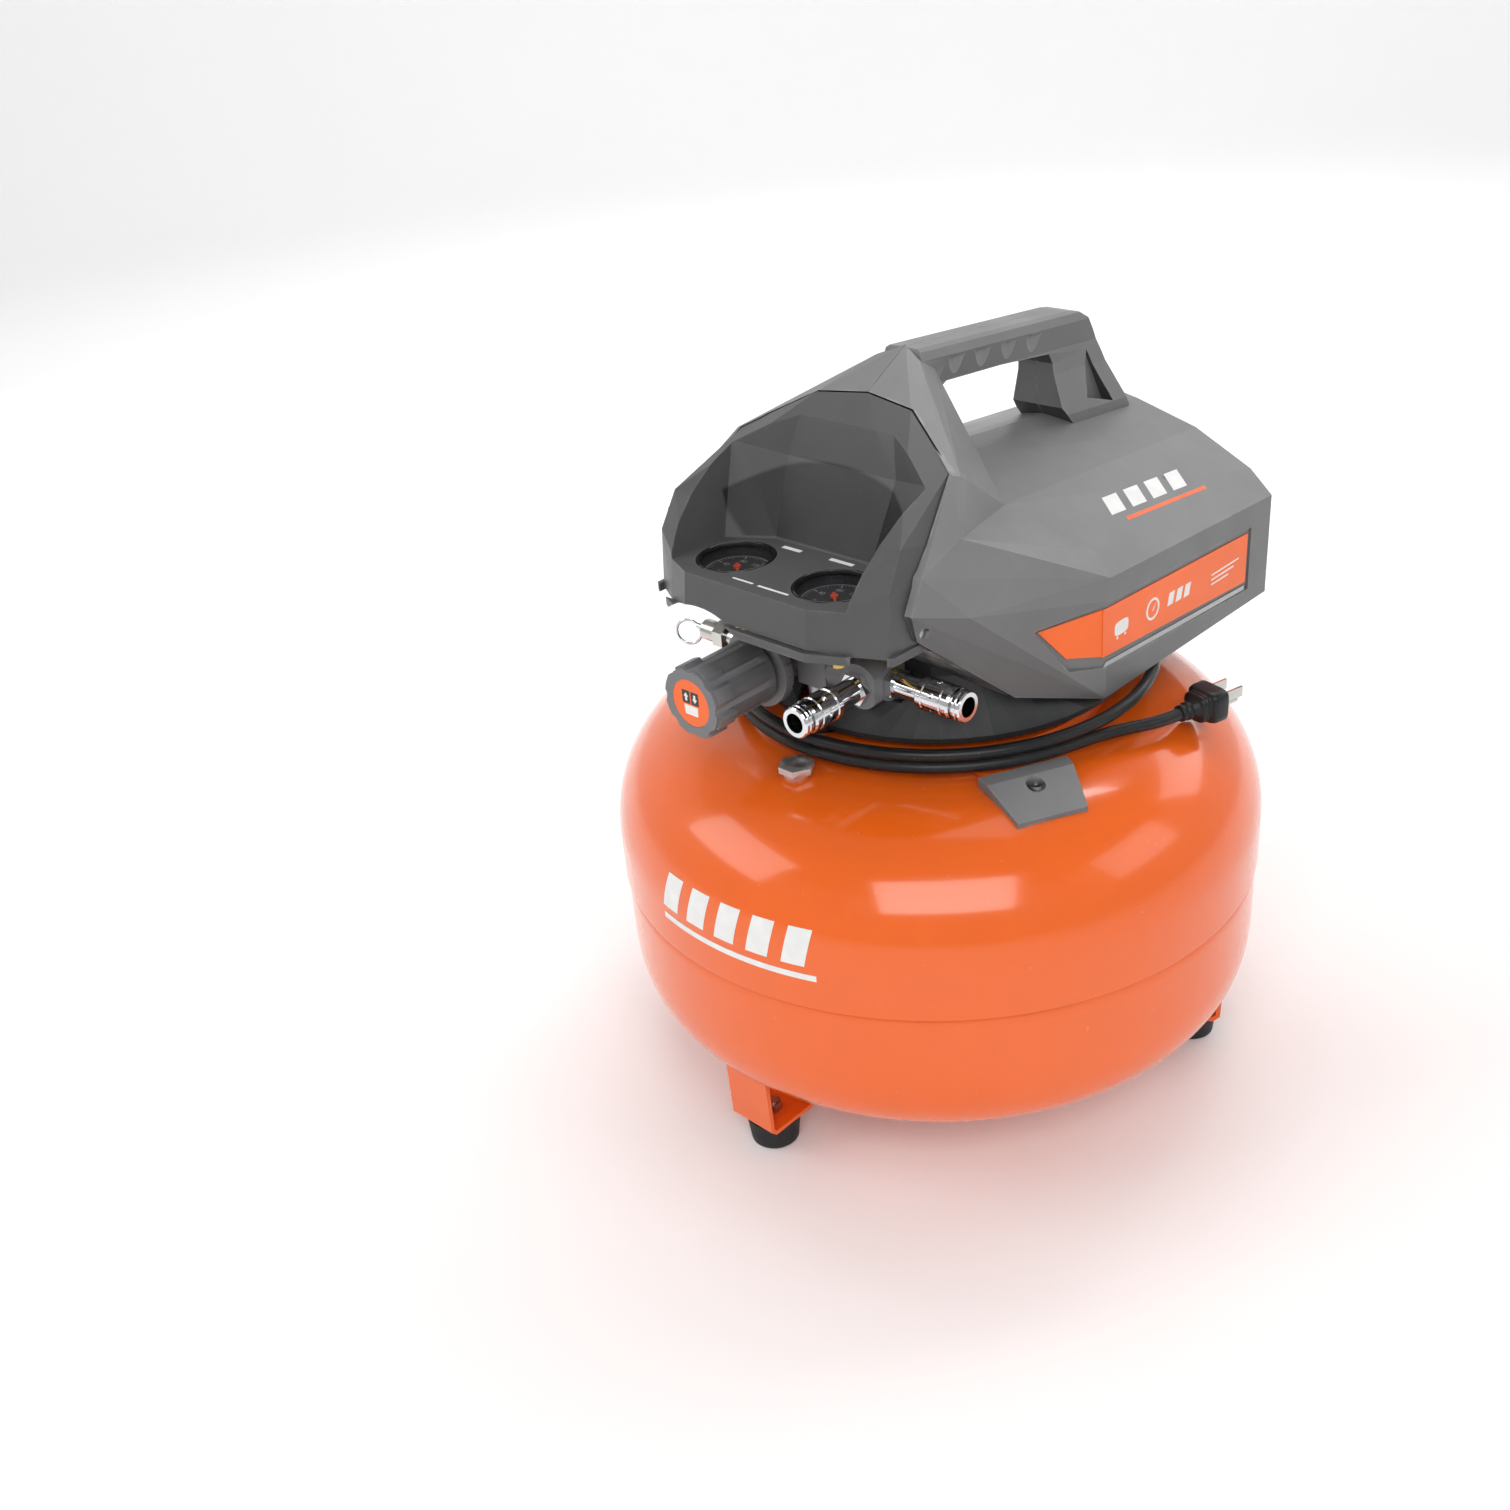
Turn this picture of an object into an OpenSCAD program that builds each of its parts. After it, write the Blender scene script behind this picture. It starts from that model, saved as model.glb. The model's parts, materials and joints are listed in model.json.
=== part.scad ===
// Pancake air compressor. Millimetres, +Z up, origin on the floor under the tank's axis.
// -Y is the front, where the gauges, the knob and the couplers are. +X is the object's right side.

/* [Tank] */
// Outer radius of the pressure tank
tank_r = 205; // [200:1:210]
// Height of the seam between the two tank shells
seam_z = 150; // [146:1:154]
// Wall thickness of the tank
tank_wall = 2.5; // [2:0.1:3.5]
// Radius of the circle that the three feet stand on
foot_circle_r = 170; // [166:1:174]
// Height of a rubber foot
foot_h = 19; // [18:0.5:20]

/* [Shroud] */
// Wall thickness of the shroud and the console
shroud_wall = 3; // [2.5:0.1:3.5]
// Half of the gap between the two halves of the shroud
half_gap = 0.15; // [0.1:0.05:0.3]
// Depth of the label recess
label_recess = 1.3; // [1.2:0.1:1.6]
// Radius of the hole for a gauge in the console shelf
gauge_hole_r = 23.3; // [23:0.1:23.6]

/* [Air fittings] */
// Height of the manifold, the knob and the couplers
air_z = 303; // [302:0.5:304]
// Radius of the regulator knob over its lobes
knob_r = 22.5; // [21:0.5:23.5]
// Number of lobes on the regulator knob
knob_lobes = 8; // [6:1:10]
// Bore radius of the couplers
coupler_bore_r = 6; // [5.5:0.1:6.2]
// Outer radius of a coupler's sleeve
sleeve_r = 9.9; // [9.6:0.1:10.4]

/* [Pump] */
// Height of the motor shaft
shaft_z = 318; // [316:0.5:320]
// Half of the piston's stroke
crank_throw = 6; // [5:0.5:6]
// Radius of the cylinder's bore
cylinder_bore_r = 22; // [21.5:0.1:22.3]
// Radius of the cooling fan
fan_r = 42; // [38:1:43]
// Number of blades on the cooling fan
fan_blades = 9; // [7:1:12]

/* [Cord] */
// Diameter of the mains cord
cord_d = 7.5; // [7:0.1:8]

/* [Hidden] */
$fn = 64;
eps = 0.01;
front_lap = 1.2;
top_straight_z = 177;
top_knuckle = 75;
top_crown = 1000;
bottom_straight_z = 114;
bottom_depth = 82.5;
bottom_power = 3.4;
foot_angles = [-90, 30, 150];
wedge_angles = [-27, 90, 207];
leg_w = 34;
leg_t = 3;
drain_z = bottom_straight_z - bottom_depth;

knob_x = -35;
knob_face_y = -171;
coupler_x = 30;
coupler_y = -84;
gauge_x = 36.9;
gauge_y = -123;
shelf_z = 376;
valve_y = -104.5;
valve_z = 310;
outlet = [-8, -92];
plug_fitting = [6, -131];
check_at = [-72, 78];

shaft_x = 20;
rod_y = 35;
piston_x = shaft_x - 60;
switch_x = -50;
switch_y = 174;
switch_z = 318;

// Route of the mains cord: out of the skirt, twice round it, and along the tank to the plug
cord_centre = [0, 12];
gland_at = [8, 130, 270.8];
gland_turn = 152;
cord_start = [[22, 122.6, 270.8], [8, 130, 270.8], [-8, 137.2, 270.8], [-26, 139.8, 270.8]];
cord_wrap_r = 131;
cord_wrap_from = 110;
cord_wrap_turn = 590;
cord_wrap_step = 10;
cord_low_z = 263;
cord_end = [[132, -8, 262.9], [140, 10, 262.2], [147, 28, 260.6], [151, 45, 259.5], [152.2, 50, 259.5]];
plug_at = [151, 45, 259.5];
plug_turn = 76;

// Steel tank

function torus_arc(r, k, from, to, n) =
    [for (i = [0:n]) let (a = from + (to - from) * i / n) [r - k + k * cos(a), k * sin(a)]];

// Outline of the dished top: a knuckle of radius k that runs into a crown of radius c
function dished(r, k, c) =
    let (tilt = asin((r - k) / (c - k)), rise = c - sqrt(pow(c - k, 2) - pow(r - k, 2)))
    concat(torus_arc(r, k, 0, 90 - tilt, 12),
        [for (i = [1:8]) let (a = tilt * (1 - i / 8)) [c * sin(a), rise - c + c * cos(a)]]);

function bowl(r, depth, power) =
    [for (i = [0:18]) let (a = 5 * i) [r * pow(cos(a), 2 / power), -depth * pow(sin(a), 2 / power)]];

function raised(outline, z) = [for (p = outline) [max(p[0], 0), p[1] + z]];

module top_form(grow) {
    rotate_extrude($fn = 128) polygon(concat([[0, seam_z - 40]],
        [[tank_r + front_lap / 2 + grow, seam_z - 40]],
        raised(dished(tank_r + front_lap / 2 + grow, top_knuckle + grow, top_crown + grow), top_straight_z)));
}

module bottom_form(grow) {
    rotate_extrude($fn = 128) polygon(concat([[0, seam_z + 40]],
        [[tank_r - front_lap / 2 + grow, seam_z + 40]],
        raised(bowl(tank_r - front_lap / 2 + grow, bottom_depth + grow, bottom_power), bottom_straight_z)));
}

module tank_hole(at, r) {
    translate([at[0], at[1], seam_z + 40]) cylinder(r = r, h = 100);
}

module tank_top_shell() {
    color("#ee6e2d") difference() {
        top_form(0);
        top_form(-tank_wall);
        translate([0, 0, seam_z - 60]) cylinder(r = tank_r + 10, h = 58, $fn = 128);
        tank_hole(plug_fitting, 8);
        tank_hole(outlet, 10);
        tank_hole(check_at, 9);
    }
}

module tank_bottom_shell() {
    joggle = 3.1;
    color("#ee6e2d") difference() {
        union() {
            intersection() {
                bottom_form(0);
                translate([0, 0, -1]) cylinder(r = tank_r + 10, h = seam_z - 1.4, $fn = 128);
            }
            intersection() {
                bottom_form(-joggle + front_lap / 2);
                translate([0, 0, seam_z - 20]) cylinder(r = tank_r + 10, h = 32, $fn = 128);
            }
        }
        bottom_form(-joggle - tank_wall + front_lap / 2);
        translate([0, 0, drain_z - 10]) cylinder(r = 7, h = 30);
    }
}

// One leg is a strap bent into a U under the tank
module leg(angle) {
    color("#ee6e2d") rotate(angle) difference() {
        translate([foot_circle_r, leg_w / 2, foot_h]) rotate([90, 0, 0]) linear_extrude(leg_w)
            difference() {
                polygon([[-21, 40], [-21, 3], [-18, 0], [15, 0], [19, 4], [21, 50], [17.9, 50],
                    [16.1, 5.2], [13.8, leg_t], [-16.8, leg_t], [-18, 4.2], [-18, 40]]);
            }
        bottom_form(0.05);
        translate([foot_circle_r, 0, foot_h - 1]) cylinder(r = 3.2, h = leg_t + 2);
    }
}

module leg_front() { leg(foot_angles[0]); }
module leg_right() { leg(foot_angles[1]); }
module leg_left() { leg(foot_angles[2]); }

module each_foot() {
    for (a = foot_angles)
        rotate(a) translate([foot_circle_r, 0, 0]) children();
}

module rubber_feet() {
    color("#26282a") each_foot() difference() {
        rotate_extrude() polygon([[3.2, 6], [9, 6], [9, 0], [14, 0], [15.2, 1.2], [17.4, foot_h], [3.2, foot_h]]);
    }
}

module foot_bolts() {
    color("#a9adb0") each_foot() {
        translate([0, 0, 2]) cylinder(r = 6, h = 4, $fn = 6);
        translate([0, 0, 6]) cylinder(r = 3.1, h = foot_h + leg_t);
        translate([0, 0, foot_h + leg_t]) difference() {
            cylinder(r = 6, h = 5, $fn = 6);
            translate([0, 0, -1]) cylinder(r = 3.1, h = 7);
        }
    }
}

module tank_hex_plug() {
    color("#c9c6bd") translate([plug_fitting[0], plug_fitting[1], 0]) {
        translate([0, 0, 244]) cylinder(r = 8, h = 11);
        translate([0, 0, 254.8]) cylinder(r = 11, h = 4.1, $fn = 6);
    }
}

module tank_outlet_bung() {
    color("#c9c6bd") translate([outlet[0], outlet[1], 0]) difference() {
        union() {
            translate([0, 0, 246]) cylinder(r = 10, h = 16);
            translate([0, 0, 262]) cylinder(r = 13, h = 8, $fn = 6);
        }
        translate([0, 0, 245]) cylinder(r = 5, h = 26);
    }
}

module riser_pipe() {
    color("#b9b9b4") translate([outlet[0], outlet[1], 270]) difference() {
        cylinder(r = 7, h = air_z - 11 - 270);
        translate([0, 0, -1]) cylinder(r = 5, h = 40);
    }
}

module check_valve() {
    color("#c8a24a") translate([check_at[0], check_at[1], 0]) difference() {
        union() {
            translate([0, 0, 248]) cylinder(r = 9, h = 20);
            translate([0, 0, 268]) cylinder(r = 12, h = 12, $fn = 6);
            translate([0, 0, 280]) cylinder(r = 8, h = 12);
        }
        translate([0, 0, 247]) cylinder(r = 4, h = 50);
    }
}

module discharge_tube() {
    color("#c07a4a") {
        translate([-75, rod_y + 16, shaft_z]) rotate([-90, 0, 0]) cylinder(r = 4, h = check_at[1] - rod_y - 10);
        translate([check_at[0] - 1.5, check_at[1], 286]) cylinder(r = 2.4, h = shaft_z - 283);
    }
}

module drain_valve_body() {
    color("#c8a24a") difference() {
        union() {
            translate([0, 0, drain_z - 2]) cylinder(r = 7, h = 16);
            translate([0, 0, drain_z - 12]) cylinder(r = 9, h = 10, $fn = 6);
            translate([0, 0, drain_z - 15]) cylinder(r = 6, h = 3);
        }
        translate([0, 0, drain_z - 16]) cylinder(r = 3.05, h = 24);
    }
}

module drain_valve_knob() {
    color("#c8a24a") {
        translate([0, 0, drain_z - 16]) cylinder(r = 3, h = 22);
        translate([0, 0, drain_z - 23]) difference() {
            cylinder(r = 9, h = 7.5);
            for (i = [0:11])
                rotate(30 * i) translate([9.6, 0, -1]) cylinder(r = 1.4, h = 10);
        }
    }
}

// Plate welded to the tank's top, which carries the pump, the skirt and the wedge feet
module pump_saddle() {
    color("#ee6e2d") difference() {
        union() {
            translate([0, 0, 262]) cylinder(r = 110, h = 3, $fn = 96);
            difference() {
                translate([0, 0, 250]) cylinder(r = 110, h = 13, $fn = 96);
                translate([0, 0, 249]) cylinder(r = 107, h = 20, $fn = 96);
            }
            for (a = wedge_angles)
                rotate(a) translate([100, -24, 250]) cube([26, 48, 8]);
        }
        top_form(0.05);
        for (at = [outlet, check_at])
            translate([at[0], at[1], 240]) cylinder(r = 15, h = 40);
    }
}

// Shroud

module points_hull(points) {
    hull() polyhedron(points = points, faces = [[for (i = [0:len(points) - 1]) i]]);
}

deck = [[0, -8, 408], [15, -8, 406], [65, -8, 390], [106, 20, 362], [122, 14, 351],
    [0, 205, 388], [15, 205, 385], [60, 204, 373], [104, 198, 355], [122, 194, 342]];
band = [[122, 12, 275], [122, 194, 275], [100, 200, 275], [0, 200, 275], [0, 12, 275]];
front_side = [[65, -8, 390], [106, 20, 362], [122, 14, 351], [122, 10, 338], [122, 12, 275],
    [105.5, -54, 299], [101, -76, 342], [103, -90, 361], [94, -127, 373], [93, -122, 357], [95, -103, 387],
    [95, -119, 392], [95, -86, 403], [0, -8, 400], [0, -54, 299], [0, -122, 357], [0, -127, 373],
    [0, -119, 392], [0, 12, 275]];
hood_rim = [[0, -46.5, 455.5], [34.5, -50.5, 452], [79, -72, 430]];
hood_back = [[80, -66, 428], [30, -30, 453], [16, -19, 468], [0, -12, 474], [0, -2, 466], [14, -4, 460],
    [20, 12, 408], [0, 12, 410], [65, -8, 390], [95, -86, 403], [95, -119, 392], [0, -119, 392],
    [80, -40, 370], [0, -40, 370]];

// The right half of the shroud's outer form, which the left half mirrors
module shroud_form() {
    points_hull(concat(deck, band));
    points_hull(front_side);
    points_hull(concat(hood_rim, hood_back));
}

module shroud_hollow() {
    scale_x = (122 - shroud_wall) / 122;
    translate([-eps, 55, 270]) scale([scale_x, 0.975, 0.965]) translate([0, -55, -270.2]) shroud_form();
    translate([-1, -22, 272]) cube([50, 50, 112]);
    translate([-1, -7, 380]) cube([8, 6, 13]);
}

// Side view of the carrying handle, y and z
handle_outline = [[-14, 473], [-6, 472.6], [128, 460.2], [140, 457.6], [148, 452.5], [154, 444], [164, 428],
    [188, 386], [150, 380], [124, 392], [114, 404], [112, 432], [108, 439], [60, 445], [8, 449.5],
    [0, 446], [-2, 400], [-30, 400]];
handle_slope = 5.3;
// Places of the finger notches along the grip
notches = [17, 42, 67, 92];

// End view of the handle, down from the line of its top: a bevelled grip over a post that flares
module handle_bar() {
    difference() {
        intersection() {
            rotate([90, 0, 90]) linear_extrude(26) polygon(handle_outline);
            handle_line() translate([0, 0, -260]) linear_extrude(300)
                polygon([[0, 0.1], [10, 0.1], [12.6, -1.6], [14, -6.5], [12.6, -21], [13.5, -36],
                    [20, -62], [21, -130], [0, -130]]);
        }
        for (y = notches)
            handle_line() translate([26, -15, -y - 14]) rotate([90, 0, 8]) translate([0, 0, -9])
                cylinder(r = 13.5, h = 30);
    }
}

module handle_line() {
    translate([0, -14, 473]) rotate([-handle_slope, 0, 0]) rotate([90, 0, 0]) children();
}

// Triangular pocket in the side of the rear post
module handle_panel() {
    translate([11, 0, 0]) rotate([90, 0, 90]) linear_extrude(14)
        polygon([[148, 432], [142, 403], [169, 394]]);
}

// The console reaches a little way behind the front edge of the shroud
console_rim = [[34.5, -50.5, 452], [75.5, -70, 431], [84, -122, 406.5], [85.5, -134, 386], [67, -145, 380],
    [46, -155, shelf_z]];
console_low = [[46, -158, 354], [66, -149, 352], [87, -136, 350], [90, -110, 350]];
console_back = [[33, -40, 447], [76, -60, 424], [89, -80, 400], [91, -112, 388], [91, -112, 360],
    [55, -78, 368]];

function both_sides(points) = concat(points, [for (p = points) [-p[0], p[1], p[2]]]);

module console_form(centre_top) {
    points_hull(concat([centre_top], both_sides(concat(console_rim, console_low, console_back))));
}

module console_clearance() {
    grow = 1.012;
    translate([0, -100, 395]) scale(grow) translate([0, 100, -395]) console_form([0, -46.5, 455.3]);
    // Way in from the front and from below, where the two parts don't meet
    translate([-86, -170, 340]) cube([172, 52, 52]);
    translate([-92, -170, 330]) cube([184, 64, 24]);
}

// Recess of the label: a strip along the side that turns onto the front corner
side_label = [[8, 303], [168, 292], [168, 325], [8, 333]];

corner_turn = -14;

module corner_strip(outline, depth, thick) {
    translate([122, 10, 0]) rotate([90, 0, 90 + corner_turn]) translate([0, 0, -depth])
        linear_extrude(thick) polygon(outline);
}

module label_pocket() {
    translate([122 - label_recess, 0, 0]) rotate([90, 0, 90]) linear_extrude(10)
        polygon([[9, 296], [171, 286], [171, 328], [9, 336]]);
    corner_strip([[0.5, 296], [0.5, 336], [-56, 337], [-28, 303]], label_recess, 12);
}

module side_label_plate() {
    translate([122 - label_recess, 0, 0]) rotate([90, 0, 90]) linear_extrude(0.8)
        polygon(side_label);
    corner_strip([[-0.3, 303], [-0.3, 333], [-50, 334], [-29, 311]], label_recess, 0.8);
}

module vent_slots() {
    for (i = [0:5])
        translate([10, 180, 292 + 12 * i]) cube([80, 40, 5]);
}

module shroud_half(is_left) {
    difference() {
        union() {
            difference() {
                shroud_form();
                shroud_hollow();
                console_clearance();
                translate([-100, -220, 200]) cube([300, 430, 76]);
            }
            difference() {
                handle_bar();
                handle_panel();
            }
            // Backing of the label's front strip
            intersection() {
                shroud_form();
                corner_strip([[2, 290], [2, 340], [-60, 341], [-32, 297]], label_recess + 2.8, 2.8);
            }
        }
        translate([-100, -300, 0]) cube([100 + half_gap, 600, 600]);
        label_pocket();
        if (!is_left) vent_slots();
        if (is_left) translate([-switch_x - 22, 170, switch_z - 22]) cube([44, 60, 44]);
        translate([84, -118, 361]) rotate([0, 90, 0]) cylinder(r = 3, h = 30);
        along_y(is_left ? -knob_x : coupler_x, air_z, -72.6, 15.4, 40);
        translate([gauge_x, -84, 310]) cylinder(r = 4.7, h = 27);
        along_y(gauge_x, 332, -82, 3.7, 40);
    }
}

module shroud_right() { color("#6d6f72") shroud_half(false); }
module shroud_left() { color("#6d6f72") mirror([1, 0, 0]) shroud_half(true); }

// Open-fronted recess over the shelf of the gauges
module recess_form() {
    inner = [[33, -64, 448], [72, -85, 427], [70, -131, 402], [66, -146, shelf_z]];
    back = [[36, -91, shelf_z], [63, -106, shelf_z], [40, -72, 420], [60, -84, 416]];
    above = [[33, -164, 520], [72, -185, 500], [70, -200, 402], [66, -200, shelf_z]];
    points_hull(both_sides(concat(inner, back, above)));
}

// Space inside the console: under the shelf and behind the recess
module console_hollow() {
    low = [[45, -152, 372.5], [64, -143, 372.5], [84, -131, 372.5], [87, -112, 372.5], [52, -82, 372.5]];
    points_hull(both_sides([for (p = low) each [p, [p[0], p[1], 330]]]));
    points_hull(both_sides([[30, -50, 441], [73, -66, 420], [85, -84, 396], [88, -108, 384],
        [88, -100, 372.6], [52, -75, 372.6], [30, -20, 441], [88, -20, 372.6]]));
}

module console() {
    wall_grow = 1.05;
    color("#45474a") difference() {
        union() {
            difference() {
                console_form([0, -46.5, 455.3]);
                console_hollow();
            }
            intersection() {
                translate([0, -140, 410]) scale(wall_grow) translate([0, 140, -410]) recess_form();
                console_form([0, -46.5, 455.3]);
            }
            console_lip();
        }
        recess_form();
        for (s = [-1, 1])
            translate([s * gauge_x, gauge_y, 340]) cylinder(r = gauge_hole_r, h = 60);
        translate([knob_x, -100, air_z]) rotate([90, 0, 0]) cylinder(r = 55, h = 90);
    }
}

// Flange round the console's lower edge
module console_lip() {
    lip = [[47, -160.5, 0], [68, -151.5, 0], [90, -138, 0], [91, -110, 0]];
    difference() {
        translate([0, 0, 348]) points_hull(both_sides([for (h = [0, 5]) for (p = lip) p + [0, 0, h]]));
        translate([-87, -150, 340]) cube([174, 60, 20]);
        translate([0, -2, 330]) linear_extrude(40)
            polygon([[45, -155], [64, -147.5], [86.5, -133], [87, -80], [-87, -80], [-86.5, -133],
                [-64, -147.5], [-45, -155]]);
    }
}

// Bowl between the shroud and the tank that the cord is wound on
skirt_plan = [[60, -72], [79, -53], [112, 8], [114, 150], [96, 190], [-96, 190], [-114, 150], [-112, 8],
    [-79, -53], [-60, -72]];

module skirt_form(inset) {
    hull() {
        translate([0, 0, 278]) linear_extrude(28) offset(delta = -inset)
            polygon([[60, -72], [79, -53], [84, -44], [-84, -44], [-79, -53], [-60, -72]]);
        translate([0, 14, 270]) cylinder(r = 118 - inset, h = 3, $fn = 48);
        translate([0, 18, 266]) cylinder(r = 112 - inset, h = 1, $fn = 48);
    }
    translate([0, 0, 290]) linear_extrude(50) offset(delta = -inset)
        polygon([[60, -72], [79, -53], [79, -45], [-79, -45], [-79, -53], [-60, -72]]);
}

module shroud_skirt() {
    color("#303235") difference() {
        union() {
            difference() {
                skirt_form(0);
                translate([0, 0, -0.3]) skirt_form(shroud_wall);
                translate([0, 18, 260]) cylinder(r = 112 - shroud_wall, h = 12, $fn = 48);
                translate([-130, -49.5, 300]) cube([260, 260, 60]);
                translate([-130, 12, 278]) cube([260, 260, 60]);
                under_shroud();
                intersection() {
                    translate([0, 14, 268]) cylinder(r = 115.4, h = 30, $fn = 48);
                    translate([-130, 12, 260]) cube([260, 200, 60]);
                }
            }
            // Rear of the drum and the floor behind it, inside the shroud
            intersection() {
                translate([0, 14, 271]) difference() {
                    cylinder(r = 118, h = 5, $fn = 48);
                    translate([0, 0, -1]) cylinder(r = 115.4, h = 8, $fn = 48);
                }
                translate([-130, 12.5, 260]) cube([260, 200, 30]);
            }
            translate([0, 0, 275.4]) linear_extrude(2.6) difference() {
                polygon([[116, 30], [116, 150], [97, 190], [-97, 190], [-116, 150], [-116, 30]]);
                translate([0, 14]) circle(r = 116, $fn = 48);
            }
        }
        translate([outlet[0], outlet[1], 260]) cylinder(r = 15, h = 60);
        at_gland() translate([0, 0, -30]) cylinder(r = 6.1, h = 60);
        // Room for the air fittings, the check valve and the fan
        along_y(knob_x, air_z, -72.6, 15.4, 50);
        along_y(coupler_x, air_z, -72.6, 14.4, 50);
        along_x(coupler_y, air_z, 18, 12, 30);
        along_x(coupler_y, air_z, 41, 10.6, 60);
        along_x(-90, air_z, -24.4, 10.2, 47);
        translate([-18.4, -110, air_z - 11.4]) cube([22.8, 40, 60]);
        translate([check_at[0], check_at[1], 260]) cylinder(r = 12.6, h = 60);
        translate([shaft_x - 24, 167.4, 270]) cube([48, 14, 20]);
    }
}

module under_shroud() {
    translate([0, 0, -0.2]) {
        rotate([90, 0, 90]) translate([0, 0, -200]) linear_extrude(400)
            polygon([[12, 275], [-54, 299], [-76, 342], [-60, 380], [12, 380]]);
    }
}

// Wedges that carry the skirt on the tank's shoulder
module wedge_feet() {
    color("#6d6f72") for (a = wedge_angles) rotate(a) difference() {
        points_hull([for (s = [-1, 1]) each [[127, 28 * s, 258.8], [137, 27 * s, 258.8], [164, 21.5 * s, 247],
            [164, 21.5 * s, 235], [127, 28 * s, 240]]]);
        top_form(0.05);
        translate([143, 0, 240]) cylinder(r = 2.2, h = 30);
        translate([143, 0, 253.5]) cylinder(r = 5.5, h = 20);
    }
}

module label_right() { color("#f0652a") side_label_plate(); }
module label_left() { color("#f0652a") mirror([1, 0, 0]) side_label_plate(); }

module shroud_screws() {
    color("#2c2d2f") for (s = [0, 1]) mirror([s, 0, 0]) translate([91.5, -118, 361]) rotate([0, 90, 0])
        cylinder(r = 2.9, h = 2);
    color("#2c2d2f") for (a = wedge_angles) rotate(a) translate([143, 0, 0]) {
        translate([0, 0, 251.5]) cylinder(r = 2.1, h = 2);
        translate([0, 0, 253.5]) difference() {
            cylinder(r = 4.4, h = 2.6);
            translate([0, 0, 1.2]) cylinder(r = 2, h = 3, $fn = 6);
        }
    }
}

// Air fittings under the console

module along_y(x, z, from, r, length) {
    translate([x, from, z]) rotate([90, 0, 0]) cylinder(r = r, h = length);
}

module along_x(y, z, from, r, length) {
    translate([from, y, z]) rotate([0, 90, 0]) cylinder(r = r, h = length);
}

module manifold() {
    color("#5a5c5e") difference() {
        union() {
            along_y(coupler_x, air_z, -73, 14, 27);
            along_x(coupler_y, air_z, 18, 11.6, 24);
            along_x(-90, air_z, -24, 9.7, 46);
            translate([-18, -99.7, air_z - 11]) cube([22, 20, 22]);
        }
        along_y(coupler_x, air_z, -84, 6.5, 40);
        along_x(coupler_y, air_z, 28, 6.5, 40);
        along_x(-90, air_z, -30, 5, 60);
        translate([41.8, -120, air_z - 30]) cube([10, 60, 60]);
        translate([outlet[0], outlet[1], air_z - 20]) cylinder(r = 5, h = 20);
    }
}

module regulator_body() {
    color("#6a6c6e") difference() {
        union() {
            along_y(knob_x, air_z, -73, 15, 37);
            along_y(knob_x, air_z, -110, 14, 9);
            along_y(knob_x, air_z, -119, 4, 34);
        }
        translate([-24, -120, air_z - 30]) cube([10, 60, 60]);
        along_x(valve_y, valve_z, -60, 5, 22);
    }
}

module regulator_collar() {
    color("#8a8c8e") difference() {
        along_y(knob_x, air_z, -110.2, 24, 7);
        along_y(knob_x, air_z, -100, 14.05, 30);
        for (i = [0:17])
            rotate_about_knob(20 * i) translate([24.6, -100, 0]) rotate([90, 0, 0]) cylinder(r = 1.3, h = 14);
    }
}

module rotate_about_knob(a) {
    translate([knob_x, 0, air_z]) rotate([0, a, 0]) children();
}

module regulator_knob() {
    flute_r = 5.5;
    pitch = 360 / knob_lobes;
    color("#77797c") difference() {
        union() {
            along_y(knob_x, air_z, knob_face_y + 15, knob_r, 13);
            along_y(knob_x, air_z, knob_face_y + 2.01, knob_r - 1.5, 2.01);
            along_y(knob_x, air_z, -121, 20, 36);
        }
        for (i = [0:knob_lobes - 1])
            rotate_about_knob(pitch * i) translate([knob_r + 2.6, -128, 0]) rotate([90, 0, 0])
                cylinder(r = flute_r, h = 60);
        along_y(knob_x, air_z, -110, 4.05, 46);
        along_y(knob_x, air_z, -110, 16.5, 25);
        along_y(knob_x, air_z, knob_face_y + 0.9, 14.7, 2);
    }
}

module knob_label() {
    color("#f0652a") along_y(knob_x, air_z, knob_face_y + 0.9, 14.6, 0.7);
}

// A coupler points along +Z here, from its thread at z = 0 to its mouth
module coupler_body(thread) {
    difference() {
        union() {
            translate([0, 0, 12 - thread]) cylinder(r = 6.45, h = thread);
            translate([0, 0, 12]) cylinder(r = 10, h = 5.5, $fn = 6);
            translate([0, 0, 17]) cylinder(r = 7.6, h = 46);
            translate([0, 0, 59.8]) rotate_extrude() polygon([[6, 0], [8.6, 0], [9.3, 0.8], [9.3, 2.4], [8.7, 3],
                [9.3, 3.6], [9.3, 5.4], [8.5, 6.2], [6, 6.2]]);
        }
        translate([0, 0, 44]) cylinder(r = coupler_bore_r, h = 40);
        translate([0, 0, -1]) cylinder(r = 4, h = 60);
    }
}

module coupler_sleeve() {
    difference() {
        rotate_extrude() polygon([[7.7, 0], [9.2, 0], [sleeve_r, 0.8], [sleeve_r, 4], [9.2, 4.6], [9.2, 5.4],
            [sleeve_r, 6], [sleeve_r, 17], [9.3, 17.6], [9.3, 18.4], [sleeve_r, 19], [sleeve_r, 22],
            [9.1, 23.6], [7.7, 23.6]]);
        for (i = [0:5])
            rotate(60 * i) translate([8.4, 0, 11.5]) rotate([0, 90, 0]) cylinder(r = 1.6, h = 4);
    }
}

module at_front_coupler() {
    translate([coupler_x, -88, air_z]) rotate([90, 0, 0]) children();
}

module at_side_coupler() {
    translate([30, coupler_y, air_z]) rotate([0, 90, 0]) children();
}

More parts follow.
